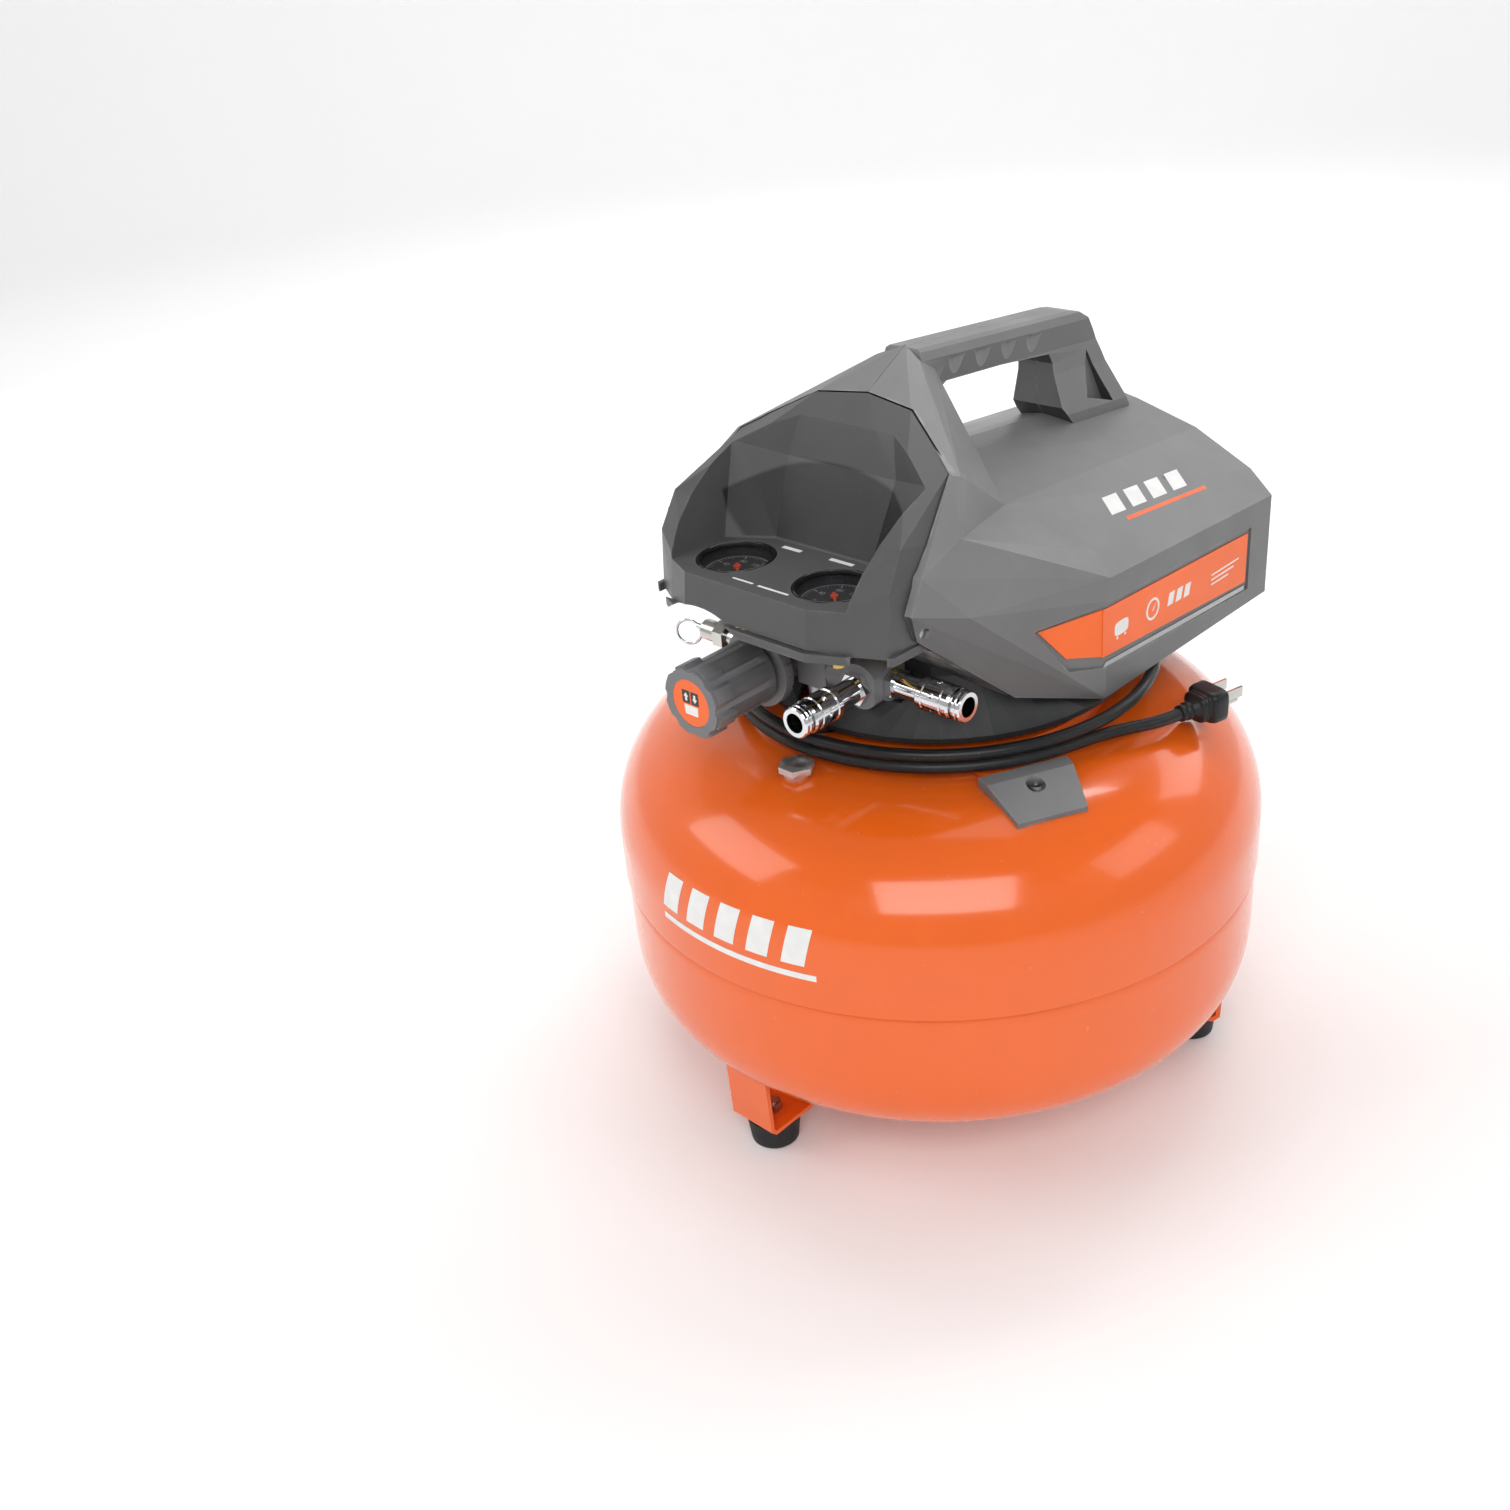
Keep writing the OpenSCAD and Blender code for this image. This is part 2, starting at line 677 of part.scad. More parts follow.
module coupler_front_body() { color("#c4c6c8") at_front_coupler() coupler_body(12); }
module coupler_side_body() { color("#c4c6c8") at_side_coupler() coupler_body(5); }
module coupler_front_sleeve() { color("#d4d6d8") at_front_coupler() translate([0, 0, 35]) coupler_sleeve(); }
module coupler_side_sleeve() { color("#d4d6d8") at_side_coupler() translate([0, 0, 35]) coupler_sleeve(); }

module safety_valve_body() {
    color("#b8b2a4") difference() {
        union() {
            along_x(valve_y, valve_z, -58, 4.95, 10);
            along_x(valve_y, valve_z, -68, 5.6, 10);
            translate([-76, valve_y, valve_z]) rotate([0, 90, 0]) cylinder(r = 9, h = 8, $fn = 6);
            along_x(valve_y, valve_z, -88, 6.5, 12);
        }
        along_x(valve_y, valve_z, -90, 2.05, 26);
    }
}

// Stem with the pull ring that hangs from its end
module safety_valve_stem() {
    ring_r = 8;
    color("#c8cacb") {
        along_x(valve_y, valve_z, -96, 2, 29);
        translate([-96, valve_y, valve_z]) rotate([0, 0, 25]) rotate([0, -35, 0])
            translate([-ring_r, 0, 0]) rotate([90, 0, 0]) rotate_extrude()
                translate([ring_r, 0]) circle(r = 0.9, $fn = 24);
    }
}

// Gauges

module each_gauge() {
    for (s = [-1, 1])
        translate([s * gauge_x, gauge_y, 0]) children();
}

module gauge_cases() {
    color("#1d1e20") each_gauge() rotate_extrude() polygon([[0, 350], [21.5, 350], [22.6, 351], [22.6, 375.4],
        [22, 376], [21, 376], [20.8, 374], [21.4, 373], [21.4, 352], [0, 352]]);
}

module gauge_dials() {
    color("#23201f") each_gauge() translate([0, 0, 367]) difference() {
        cylinder(r = 21.2, h = 1);
        translate([0, 0, -1]) cylinder(r = 0.7, h = 3);
    }
}

module needle() {
    color("#d8452a") {
        translate([0, 0, 366]) cylinder(r = 0.65, h = 4);
        translate([0, 0, 369]) cylinder(r = 2.2, h = 1.4);
        rotate(-135) translate([0, 0, 369.2]) linear_extrude(0.8)
            polygon([[-0.9, -5], [0.9, -5], [0.9, 0], [0.3, 16], [-0.3, 16], [-0.9, 0]]);
    }
}

module tank_gauge_needle() { translate([-gauge_x, gauge_y, 0]) needle(); }
module outlet_gauge_needle() { translate([gauge_x, gauge_y, 0]) needle(); }

module gauge_lenses() {
    color([0.9, 0.95, 1, 0.35]) each_gauge() translate([0, 0, 371.4]) cylinder(r = 21.3, h = 1.2);
}

module gauge_tubes() {
    color("#c8a24a") for (s = [-1, 1]) translate([s * gauge_x, 0, 0]) {
        translate([0, gauge_y, 328]) cylinder(r = 4.2, h = 22);
        translate([0, gauge_y - 2, 332]) rotate([-90, 0, 0]) cylinder(r = 3.2, h = 42);
    }
    color("#c8a24a") {
        translate([-gauge_x, -84, 318.2]) cylinder(r = 4.2, h = 17.3);
        translate([gauge_x, -84, 317.2]) cylinder(r = 4.2, h = 18.3);
    }
}

// Electrical parts

module switch_panel() {
    color("#232426") translate([switch_x, 0, switch_z]) difference() {
        translate([-21.7, 182, -21.7]) cube([43.4, 14.5, 43.4]);
        translate([-19.7, 184, -19.7]) cube([39.4, 20, 39.4]);
        translate([-5, 180, -9]) cube([10, 10, 18]);
    }
}

module pressure_switch() {
    color("#37393b") translate([switch_x, 0, switch_z]) {
        translate([-19, 134, -20]) cube([38, 30, 40]);
        for (s = [-1, 1])
            translate([s * 7 - 2, 163.5, -7]) cube([4, 15, 14]);
        translate([-7, switch_y, 0]) rotate([0, 90, 0]) cylinder(r = 1.5, h = 14);
    }
}

module switch_lever() {
    color("#c8371f") translate([switch_x, switch_y, switch_z]) rotate([-12, 0, 0]) difference() {
        union() {
            translate([-4, 0, 0]) rotate([0, 90, 0]) cylinder(r = 5, h = 8);
            translate([-3.5, 0, -2.5]) cube([7, 14, 5]);
            translate([-7, 13, -5]) cube([14, 13, 10]);
        }
        translate([-5, 0, 0]) rotate([0, 90, 0]) cylinder(r = 1.55, h = 10);
    }
}

module on_shaft(y) {
    translate([shaft_x, y, shaft_z]) rotate([-90, 0, 0]) children();
}

module motor_stator() {
    color("#8d8f91") on_shaft(95) difference() {
        union() {
            difference() {
                cylinder(r = 42, h = 62);
                for (a = [0:90:270])
                    rotate(a) translate([38, -15, -1]) cube([10, 30, 64]);
            }
            translate([-30, 36, 10]) cube([60, 13.6, 8]);
            translate([-30, 36, 44]) cube([60, 3.6, 8]);
        }
        translate([0, 0, -1]) cylinder(r = 27, h = 64);
    }
}

module motor_rotor() {
    color("#a87c4a") on_shaft(98) difference() {
        cylinder(r = 26.3, h = 56);
        translate([0, 0, -1]) cylinder(r = 5, h = 58);
        for (i = [0:11])
            rotate(30 * i) translate([26.8, 0, -1]) cylinder(r = 1.6, h = 58);
    }
}

module crankshaft() {
    color("#9a9da0") {
        on_shaft(41) cylinder(r = 5, h = 142);
        on_shaft(41) translate([0, 0, 0]) intersection() {
            cylinder(r = 17, h = 4);
            translate([-20, -17, 0]) cube([40, 25, 4]);
        }
        translate([shaft_x - crank_throw, 29.5, shaft_z]) rotate([-90, 0, 0]) cylinder(r = 9, h = 11.5);
    }
}

module cooling_fan() {
    color("#2b2d2f") on_shaft(168) difference() {
        union() {
            cylinder(r = 12, h = 11);
            for (i = [0:fan_blades - 1])
                rotate(360 / fan_blades * i) translate([0, -1, 0]) rotate([28, 0, 0])
                    translate([8, -1, 3]) cube([fan_r - 8.5, 2, 8]);
            difference() {
                cylinder(r = fan_r + 1.5, h = 3);
                translate([0, 0, -1]) cylinder(r = fan_r - 1.5, h = 5);
            }
        }
        translate([0, 0, -1]) cylinder(r = 5, h = 20);
    }
}

module motor_bearings() {
    color("#b4b7ba") for (y = [58, 160])
        on_shaft(y) difference() {
            cylinder(r = 11, h = 7);
            translate([0, 0, -1]) cylinder(r = 5.02, h = 9);
        }
}

// Casting with the front bearing seat and the flange of the cylinder, and the rear bearing's bracket
module crankcase() {
    color("#9b9ea1") difference() {
        union() {
            on_shaft(50) cylinder(r = 34, h = 6);
            on_shaft(55) cylinder(r = 16, h = 11);
            translate([-27, 50, 292]) cube([20, 6, 52]);
            translate([-27, 2, 285]) cube([4, 54, 66]);
            for (x = [-20, 48])
                translate([x, 50, 265.2]) cube([12, 6, 40]);
            translate([-24, 44, 265.2]) cube([88, 22, 4]);
            translate([14, 158, 278.3]) cube([12, 9, 30]);
            translate([-6, 158, 278.3]) cube([52, 9, 4]);
            translate([-6, 60, 265.2]) cube([52, 52, 3]);
            on_shaft(158) cylinder(r = 16, h = 9);
        }
        on_shaft(58) cylinder(r = 11, h = 7);
        on_shaft(160) cylinder(r = 11, h = 7);
        on_shaft(40) cylinder(r = 6, h = 140);
        translate([-30, rod_y, shaft_z]) rotate([0, 90, 0]) cylinder(r = 23, h = 12);
    }
}

module cylinder_at(x, r, h) {
    translate([x, rod_y, shaft_z]) rotate([0, 90, 0]) cylinder(r = r, h = h);
}

module pump_cylinder() {
    color("#a6a9ac") difference() {
        union() {
            cylinder_at(-63, 25, 36);
            for (i = [0:4])
                cylinder_at(-62 + 7 * i, 31, 2.5);
        }
        cylinder_at(-70, cylinder_bore_r, 60);
    }
}

module cylinder_head() {
    color("#a6a9ac") difference() {
        union() {
            translate([-69, rod_y - 31, shaft_z - 31]) cube([6, 62, 62]);
            translate([-75, rod_y - 29, shaft_z - 29]) cube([6, 58, 58]);
            for (i = [-2:2])
                translate([-88, rod_y - 28, shaft_z + 12 * i - 1.5]) cube([14, 56, 3]);
            cylinder_at(-86, 8, 12);
        }
        cylinder_at(-90, 4.05, 24);
        translate([-75, rod_y + 16, shaft_z]) rotate([-90, 0, 0]) cylinder(r = 4.05, h = 30);
        head_bolt_places() {
            translate([0, 0, -30]) cylinder(r = 2.05, h = 60);
            translate([0, 0, -30]) cylinder(r = 4.4, h = 30);
        }
    }
}

module head_bolt_places() {
    for (a = [45:90:315])
        translate([-69, rod_y, shaft_z]) rotate([a, 0, 0]) translate([0, 0, 36]) rotate([0, 90, 0]) children();
}

module head_bolts() {
    color("#2f3133") head_bolt_places() {
        translate([0, 0, -4]) cylinder(r = 3.6, h = 3.9, $fn = 6);
        cylinder(r = 2, h = 34);
    }
}

// The big end's eye is wide enough for the eccentric at any turn
module connecting_rod() {
    eye = 9 + 2 * crank_throw + 0.5;
    x = shaft_x - crank_throw;
    color("#c4c7ca") difference() {
        union() {
            translate([x, rod_y - 3, shaft_z]) rotate([-90, 0, 0]) cylinder(r = eye + 4, h = 6);
            translate([piston_x + 7, rod_y - 3, shaft_z - 5]) cube([x - eye - piston_x - 7, 6, 10]);
            cylinder_at(piston_x + 6, 9, 5);
        }
        translate([x, rod_y - 5, shaft_z]) rotate([-90, 0, 0]) cylinder(r = eye, h = 10);
    }
}

module piston() {
    color("#4a4c4e") {
        cylinder_at(piston_x - 6, cylinder_bore_r - 0.6, 4);
        cylinder_at(piston_x - 2, cylinder_bore_r - 0.2, 2);
        cylinder_at(piston_x, cylinder_bore_r - 0.6, 6);
    }
}

module intake_filter() {
    color("#2d2f31") {
        cylinder_at(-94, 4, 20);
        cylinder_at(-100, 13, 8);
    }
}

module capacitor() {
    color("#d8dadb") translate([84, 60, 300]) rotate([-90, 0, 0]) {
        cylinder(r = 17, h = 70);
        for (s = [-1, 1])
            translate([s * 6 - 2, -0.4, 0]) translate([0, 0, -6]) cube([4, 0.8, 7]);
    }
}

// Mains cord and its plug

function around(a, z) = [cord_centre[0] + cord_wrap_r * cos(a), cord_centre[1] + cord_wrap_r * sin(a), z];

function wrap_z(t) = let (u = min(max((t - 270) / 60, 0), 1))
    cord_low_z + (cord_d + 0.3) * (1 - u * u * (3 - 2 * u));

cord_route = concat(cord_start,
    [for (t = [0:cord_wrap_step:cord_wrap_turn]) around(cord_wrap_from + t, wrap_z(t))],
    cord_end);

module swept(points, r, sides) {
    n = len(points);
    along = [for (i = [0:n - 1]) let (d = points[min(i + 1, n - 1)] - points[max(i - 1, 0)]) d / norm(d)];
    side = [for (t = along) let (s = cross(t, [0, 0, 1])) s / norm(s)];
    ring = [for (i = [0:n - 1]) for (k = [0:sides - 1]) let (a = 360 * k / sides)
        points[i] + r * (cos(a) * side[i] + sin(a) * cross(side[i], along[i]))];
    polyhedron(points = ring, faces = concat([[for (k = [0:sides - 1]) k]],
        [[for (k = [sides - 1:-1:0]) (n - 1) * sides + k]],
        [for (i = [0:n - 2]) for (k = [0:sides - 1]) let (m = (k + 1) % sides)
            each [[i * sides + k, (i + 1) * sides + k, (i + 1) * sides + m],
                [i * sides + k, (i + 1) * sides + m, i * sides + m]]]));
}

module power_cord() {
    color("#1b1c1e") swept(cord_route, cord_d / 2, 10);
}

module at_gland() {
    translate(gland_at) rotate([-90, 0, gland_turn - 90]) children();
}

module cord_gland() {
    color("#1b1c1e") at_gland() difference() {
        union() {
            translate([0, 0, -14]) cylinder(r = 6, h = 17);
            translate([0, 0, 3]) cylinder(r = 5.2, h = 5);
        }
        translate([0, 0, -20]) cylinder(r = cord_d / 2 + 0.02, h = 40);
    }
}

module at_plug() {
    translate(plug_at) rotate([0, 0, plug_turn]) children();
}

module power_plug() {
    color("#1d1e20") at_plug() difference() {
        union() {
            rotate([0, 90, 0]) rotate_extrude() polygon([[0, 0], [5.2, 0], [5.6, 3], [4.9, 4], [5.8, 7], [5.1, 8],
                [6.2, 12], [0, 12]]);
            translate([11, -9, -9]) cube([7, 18, 18]);
            translate([17, -12, -10.2]) cube([12, 24, 20.4]);
        }
        translate([-1, 0, 0]) rotate([0, 90, 0]) cylinder(r = cord_d / 2 + 0.02, h = 7);
    }
}

module plug_blades() {
    color("#b8b3a0") at_plug() {
        for (s = [-1, 1])
            translate([29, s * 6.35 - 0.75, -0.2]) cube([15.5, 1.5, 6.4]);
        translate([29, 0, -5]) rotate([0, 90, 0]) cylinder(r = 2.4, h = 17);
    }
}

tank_top_shell();
tank_bottom_shell();
leg_front();
leg_right();
leg_left();
rubber_feet();
foot_bolts();
tank_hex_plug();
tank_outlet_bung();
riser_pipe();
check_valve();
discharge_tube();
drain_valve_body();
drain_valve_knob();
pump_saddle();
shroud_right();
shroud_left();
console();
shroud_skirt();
wedge_feet();
label_right();
label_left();
shroud_screws();
manifold();
regulator_body();
regulator_collar();
regulator_knob();
knob_label();
coupler_front_body();
coupler_front_sleeve();
coupler_side_body();
coupler_side_sleeve();
safety_valve_body();
safety_valve_stem();
gauge_cases();
gauge_dials();
tank_gauge_needle();
outlet_gauge_needle();
gauge_lenses();
gauge_tubes();
switch_panel();
pressure_switch();
switch_lever();
motor_stator();
motor_rotor();
crankshaft();
cooling_fan();
motor_bearings();
crankcase();
pump_cylinder();
cylinder_head();
head_bolts();
connecting_rod();
piston();
intake_filter();
capacitor();
cord_gland();
power_cord();
power_plug();
plug_blades();
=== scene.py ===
import json
import math

import bmesh
import bpy
from mathutils import Matrix, Vector


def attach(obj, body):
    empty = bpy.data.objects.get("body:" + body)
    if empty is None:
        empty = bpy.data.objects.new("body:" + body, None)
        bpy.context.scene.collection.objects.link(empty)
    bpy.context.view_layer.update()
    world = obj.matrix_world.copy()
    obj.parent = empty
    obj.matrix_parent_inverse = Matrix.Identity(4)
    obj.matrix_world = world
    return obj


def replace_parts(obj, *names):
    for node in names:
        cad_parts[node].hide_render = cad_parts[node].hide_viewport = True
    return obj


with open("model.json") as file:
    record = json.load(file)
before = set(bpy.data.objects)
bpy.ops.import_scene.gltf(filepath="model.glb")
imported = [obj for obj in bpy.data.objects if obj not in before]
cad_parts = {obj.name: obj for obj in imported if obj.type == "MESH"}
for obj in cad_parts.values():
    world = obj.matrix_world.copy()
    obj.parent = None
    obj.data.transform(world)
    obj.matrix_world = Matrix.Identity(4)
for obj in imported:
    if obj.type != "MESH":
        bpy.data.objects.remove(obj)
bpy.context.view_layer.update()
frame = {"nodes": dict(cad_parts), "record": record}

nodes = frame["nodes"]
MM = 0.001
TAU = 2 * math.pi


def linear(*rgb):
    """An sRGB colour, 0 to 255, as linear RGBA."""
    out = []
    for value in rgb:
        c = value / 255
        out.append(c / 12.92 if c <= 0.04045 else ((c + 0.055) / 1.055) ** 2.4)
    return (*out, 1.0)


# Camera at the photograph's viewing angle, solved from the tank's outline and seam

LENS = 39.80
CAMERA_PLACE = (0.6025, -0.7286, 0.7372)
CAMERA_TURN = Matrix(((0.71733, -0.28868, 0.63410),
                      (0.69210, 0.39988, -0.60091),
                      (-0.08009, 0.86992, 0.48664)))


def add_camera():
    data = bpy.data.cameras.new("camera")
    data.sensor_width = 36
    data.lens = LENS
    data.clip_start = 0.01
    data.clip_end = 50
    camera = bpy.data.objects.new("camera", data)
    bpy.context.scene.collection.objects.link(camera)
    camera.matrix_world = Matrix.Translation(CAMERA_PLACE) @ CAMERA_TURN.to_4x4()
    bpy.context.scene.camera = camera


add_camera()


# Materials

# Painted shade in the lower part of the gauge recess, in metres: behind a plane, above the shelf, under an arch
RECESS_SHADE_FRONT_Y = -0.1
RECESS_SHADE_FLOOR = (0.3765, 0.3775)
RECESS_SHADE_ARCH_TOP = 0.421
RECESS_SHADE_ARCH_FALL = 4.0


class Look:
    """A node material on Principled BSDF, built from object-space noise."""

    def __init__(self, name, colour, rough, metallic=0.0, specular=0.5, coat=0.0, coat_rough=0.05):
        self.material = bpy.data.materials.new(name)
        self.material.use_nodes = True
        self.tree = self.material.node_tree
        self.tree.nodes.clear()
        self.out = self.tree.nodes.new("ShaderNodeOutputMaterial")
        self.shader = self.tree.nodes.new("ShaderNodeBsdfPrincipled")
        self.tree.links.new(self.shader.outputs[0], self.out.inputs["Surface"])
        self.shader.inputs["Metallic"].default_value = metallic
        self.shader.inputs["Specular IOR Level"].default_value = specular
        self.shader.inputs["Coat Weight"].default_value = coat
        self.shader.inputs["Coat Roughness"].default_value = coat_rough
        self.shader.inputs["IOR"].default_value = 1.5
        self.place = self.tree.nodes.new("ShaderNodeTexCoord").outputs["Object"]
        self.colour = self.constant(colour)
        self.rough = None
        self.base_rough = rough
        self.normal = None

    def constant(self, colour):
        node = self.tree.nodes.new("ShaderNodeRGB")
        node.outputs[0].default_value = colour
        return node.outputs[0]

    def noise(self, scale, detail=3.0, roughness=0.5, stretch=(1, 1, 1), offset=0.0):
        mapping = self.tree.nodes.new("ShaderNodeMapping")
        mapping.inputs["Scale"].default_value = stretch
        mapping.inputs["Location"].default_value = (offset, offset * 0.7, offset * 1.3)
        self.tree.links.new(self.place, mapping.inputs["Vector"])
        node = self.tree.nodes.new("ShaderNodeTexNoise")
        node.inputs["Scale"].default_value = scale
        node.inputs["Detail"].default_value = detail
        node.inputs["Roughness"].default_value = roughness
        self.tree.links.new(mapping.outputs[0], node.inputs["Vector"])
        return node.outputs[0]

    def span(self, value, low, high, to_low=0.0, to_high=1.0, smooth=False):
        node = self.tree.nodes.new("ShaderNodeMapRange")
        node.interpolation_type = "SMOOTHSTEP" if smooth else "LINEAR"
        ends = (("From Min", low), ("From Max", high), ("To Min", to_low), ("To Max", to_high))
        for key, number in ends:
            node.inputs[key].default_value = number
        self.tree.links.new(value, node.inputs["Value"])
        return node.outputs[0]

    def math(self, operation, a, b):
        node = self.tree.nodes.new("ShaderNodeMath")
        node.operation = operation
        for index, value in enumerate((a, b)):
            if isinstance(value, (int, float)):
                node.inputs[index].default_value = value
            else:
                self.tree.links.new(value, node.inputs[index])
        return node.outputs[0]

    def mix(self, mask, other):
        """Mixes another colour into the base colour by a mask."""
        node = self.tree.nodes.new("ShaderNodeMix")
        node.data_type = "RGBA"
        self.tree.links.new(mask, node.inputs[0])
        self.tree.links.new(self.colour, node.inputs[6])
        if isinstance(other, tuple):
            node.inputs[7].default_value = other
        else:
            self.tree.links.new(other, node.inputs[7])
        self.colour = node.outputs[2]
        return self

    def mottle(self, scale, amount):
        """Makes the colour lighter and darker in soft patches."""
        node = self.tree.nodes.new("ShaderNodeHueSaturation")
        value = self.span(self.noise(scale, 4.0), 0.3, 0.7, 1 - amount, 1 + amount)
        self.tree.links.new(value, node.inputs["Value"])
        self.tree.links.new(self.colour, node.inputs["Color"])
        self.colour = node.outputs[0]
        return self

    def specks(self, scale, share, colour, strength=1.0):
        """Small dots of another colour, such as dust or chips."""
        spot = self.span(self.noise(scale, 1.0), 1 - share, 1 - share + 0.02, 0, strength)
        return self.mix(spot, colour)

    def gloss(self, scale, amount, detail=4.0, stretch=(1, 1, 1)):
        """Varies the roughness in patches."""
        value = self.span(self.noise(scale, detail, stretch=stretch, offset=3.0), 0.3, 0.7,
                          self.base_rough - amount, self.base_rough + amount)
        self.rough = value if self.rough is None else self.math("MAXIMUM", self.rough, value)
        return self

    def bump(self, scale, strength, depth, detail=2.0, stretch=(1, 1, 1)):
        node = self.tree.nodes.new("ShaderNodeBump")
        node.inputs["Strength"].default_value = strength
        node.inputs["Distance"].default_value = depth
        self.tree.links.new(self.noise(scale, detail, stretch=stretch, offset=5.0), node.inputs["Height"])
        if self.normal is not None:
            self.tree.links.new(self.normal, node.inputs["Normal"])
        self.normal = node.outputs[0]
        return self

    def painted_under_shade_mask(self, full, none, strength):
        """A mask of painted shade by the height of the normal: 0 from none upwards, and strength from full
        downwards.
        """
        split = self.tree.nodes.new("ShaderNodeSeparateXYZ")
        source = self.tree.nodes.new("ShaderNodeTexCoord")
        self.tree.links.new(source.outputs["Normal"], split.inputs[0])
        return self.span(split.outputs[2], full, none, strength, 0.0)

    def recess_shade_mask(self, strength):
        """A mask of the painted shade in the lower part of the gauge recess."""
        split = self.tree.nodes.new("ShaderNodeSeparateXYZ")
        self.tree.links.new(self.place, split.inputs[0])
        square = self.math("MULTIPLY", split.outputs[0], split.outputs[0])
        arch = self.math("MULTIPLY", square, -RECESS_SHADE_ARCH_FALL)
        height = self.math("SUBTRACT", split.outputs[2], self.math("ADD", arch, RECESS_SHADE_ARCH_TOP))
        low = self.span(height, -0.0015, 0.0015, strength, 0.0, smooth=True)
        behind = self.span(split.outputs[1], RECESS_SHADE_FRONT_Y - 0.001, RECESS_SHADE_FRONT_Y + 0.001)
        above = self.span(split.outputs[2], *RECESS_SHADE_FLOOR)
        return self.math("MULTIPLY", self.math("MULTIPLY", low, behind), above)

    def crevice(self, distance, inside):
        """How far a point is in a corner, or on an outer edge where inside is true."""
        node = self.tree.nodes.new("ShaderNodeAmbientOcclusion")
        node.inside = inside
        node.samples = 6
        node.inputs["Distance"].default_value = distance
        return self.span(node.outputs["AO"], 0.35, 0.95, 1.0, 0.0)

    def wear_and_edge_highlight(self, colour, distance=0.0016, strength=0.8, scale=90.0):
        """Lighter outer edges, broken up by noise: wear on the metals, and on the plastics partly wear and partly
        painted edge highlight.
        """
        edge = self.crevice(distance, True)
        broken = self.span(self.noise(scale, 5.0, 0.65, offset=9.0), 0.42, 0.62, 0, strength)
        return self.mix(self.math("MULTIPLY", edge, broken), colour)

    def dust_and_corner_shade(self, colour, distance=0.012, strength=0.35, scale=40.0):
        """Mixes a colour into corners: dust or grime on most materials, and painted shade on the tank enamel."""
        corner = self.crevice(distance, False)
        broken = self.span(self.noise(scale, 5.0, 0.6, offset=13.0), 0.3, 0.7, 0.2 * strength, strength)
        return self.mix(self.math("MULTIPLY", corner, broken), colour)

    def done(self):
        self.tree.links.new(self.colour, self.shader.inputs["Base Color"])
        if self.rough is None:
            self.shader.inputs["Roughness"].default_value = self.base_rough
        else:
            self.tree.links.new(self.math("MAXIMUM", self.rough, 0.03), self.shader.inputs["Roughness"])
        if self.normal is not None:
            self.tree.links.new(self.normal, self.shader.inputs["Normal"])
        return self.material


def plastic(name, colour, rough, grain=1500.0, strength=0.25, edge=None, painted_under_shade=None, painted_recess_shade=None):
    """Moulded plastic with a fine spark-eroded texture.

    edge is the colour of the lighter outer edges, which are partly wear and partly painted edge highlight. The two
    arguments after it are each a colour and its share of painted shade: on the faces that look down, and in the
    lower part of the gauge recess.
    """
    look = Look(name, colour, rough)
    # Painted shade: faces that look down get a darker tone.
    if painted_under_shade:
        tone, share = painted_under_shade
        look.mix(look.painted_under_shade_mask(full=-0.30, none=0.12, strength=share), tone)
    if painted_recess_shade:
        # Painted shade in the lower part of the gauge recess.
        tone, share = painted_recess_shade
        look.mix(look.recess_shade_mask(share), tone)
    look.mottle(9, 0.05).mottle(60, 0.03).gloss(25, 0.05)
    look.specks(900, 0.26, linear(140, 140, 140), strength=0.10)
    # Lighter outer edges: partly wear and partly painted edge highlight.
    if edge:
        look.wear_and_edge_highlight(edge, distance=0.0013, strength=0.55)
    look.dust_and_corner_shade(linear(128, 124, 118), distance=0.01, strength=0.10)
    look.bump(grain, strength, depth=0.00025, detail=3.0)
    return look.done()


def metal(name, colour, rough, edge=None, grime=linear(60, 56, 50), brushed=(1, 1, 1), dirt=0.5):
    """Plated, cast or turned metal. brushed stretches its grain, and dirt is the grime in its corners."""
    look = Look(name, colour, rough, metallic=1.0)
    look.mottle(80, 0.06).gloss(140, rough * 0.35, stretch=brushed)
    look.dust_and_corner_shade(grime, distance=0.004, strength=dirt)
    if edge:
        look.wear_and_edge_highlight(edge, distance=0.0008, strength=0.6)
    look.bump(900, 0.06, depth=0.0001, detail=3.0, stretch=brushed)
    return look.done()


def paint(name, colour):
    """Glossy enamel with orange peel, faint scuffs, light specks, and painted shade in its corners."""
    look = Look(name, colour, 0.17, specular=0.5, coat=0.35, coat_rough=0.06)
    look.mottle(4, 0.025).mottle(45, 0.012)
    look.gloss(7, 0.035, detail=6.0)
    look.specks(420, 0.225, linear(250, 150, 95), 0.5)
    scuff = look.noise(6, 6.0, 0.75, stretch=(0.6, 0.6, 9.0), offset=21.0)
    look.rough = look.math("ADD", look.rough, look.span(scuff, 0.6, 0.75, 0, 0.10))
    # Painted shade: a darker copy of the enamel's orange in its corners.
    look.dust_and_corner_shade(linear(120, 52, 24), 0.010, 0.45)
    look.bump(330, 0.035, 0.0004, 2.0)
    return look.done()


def rubber(name, colour, rough=0.62):
    look = Look(name, colour, rough, specular=0.35)
    look.mottle(30, 0.12).gloss(60, 0.08)
    look.specks(500, 0.26, linear(92, 90, 86), 0.35)
    look.dust_and_corner_shade(linear(95, 90, 82), 0.006, 0.25)
    look.bump(800, 0.2, 0.0002, 4.0)
    return look.done()


def glass(name):
    look = Look(name, linear(60, 62, 66), 0.05, specular=0.6)
    look.shader.inputs["Alpha"].default_value = 0.16
    look.gloss(60, 0.02)
    look.bump(40, 0.01, 0.0005, 2.0)
    return look.done()


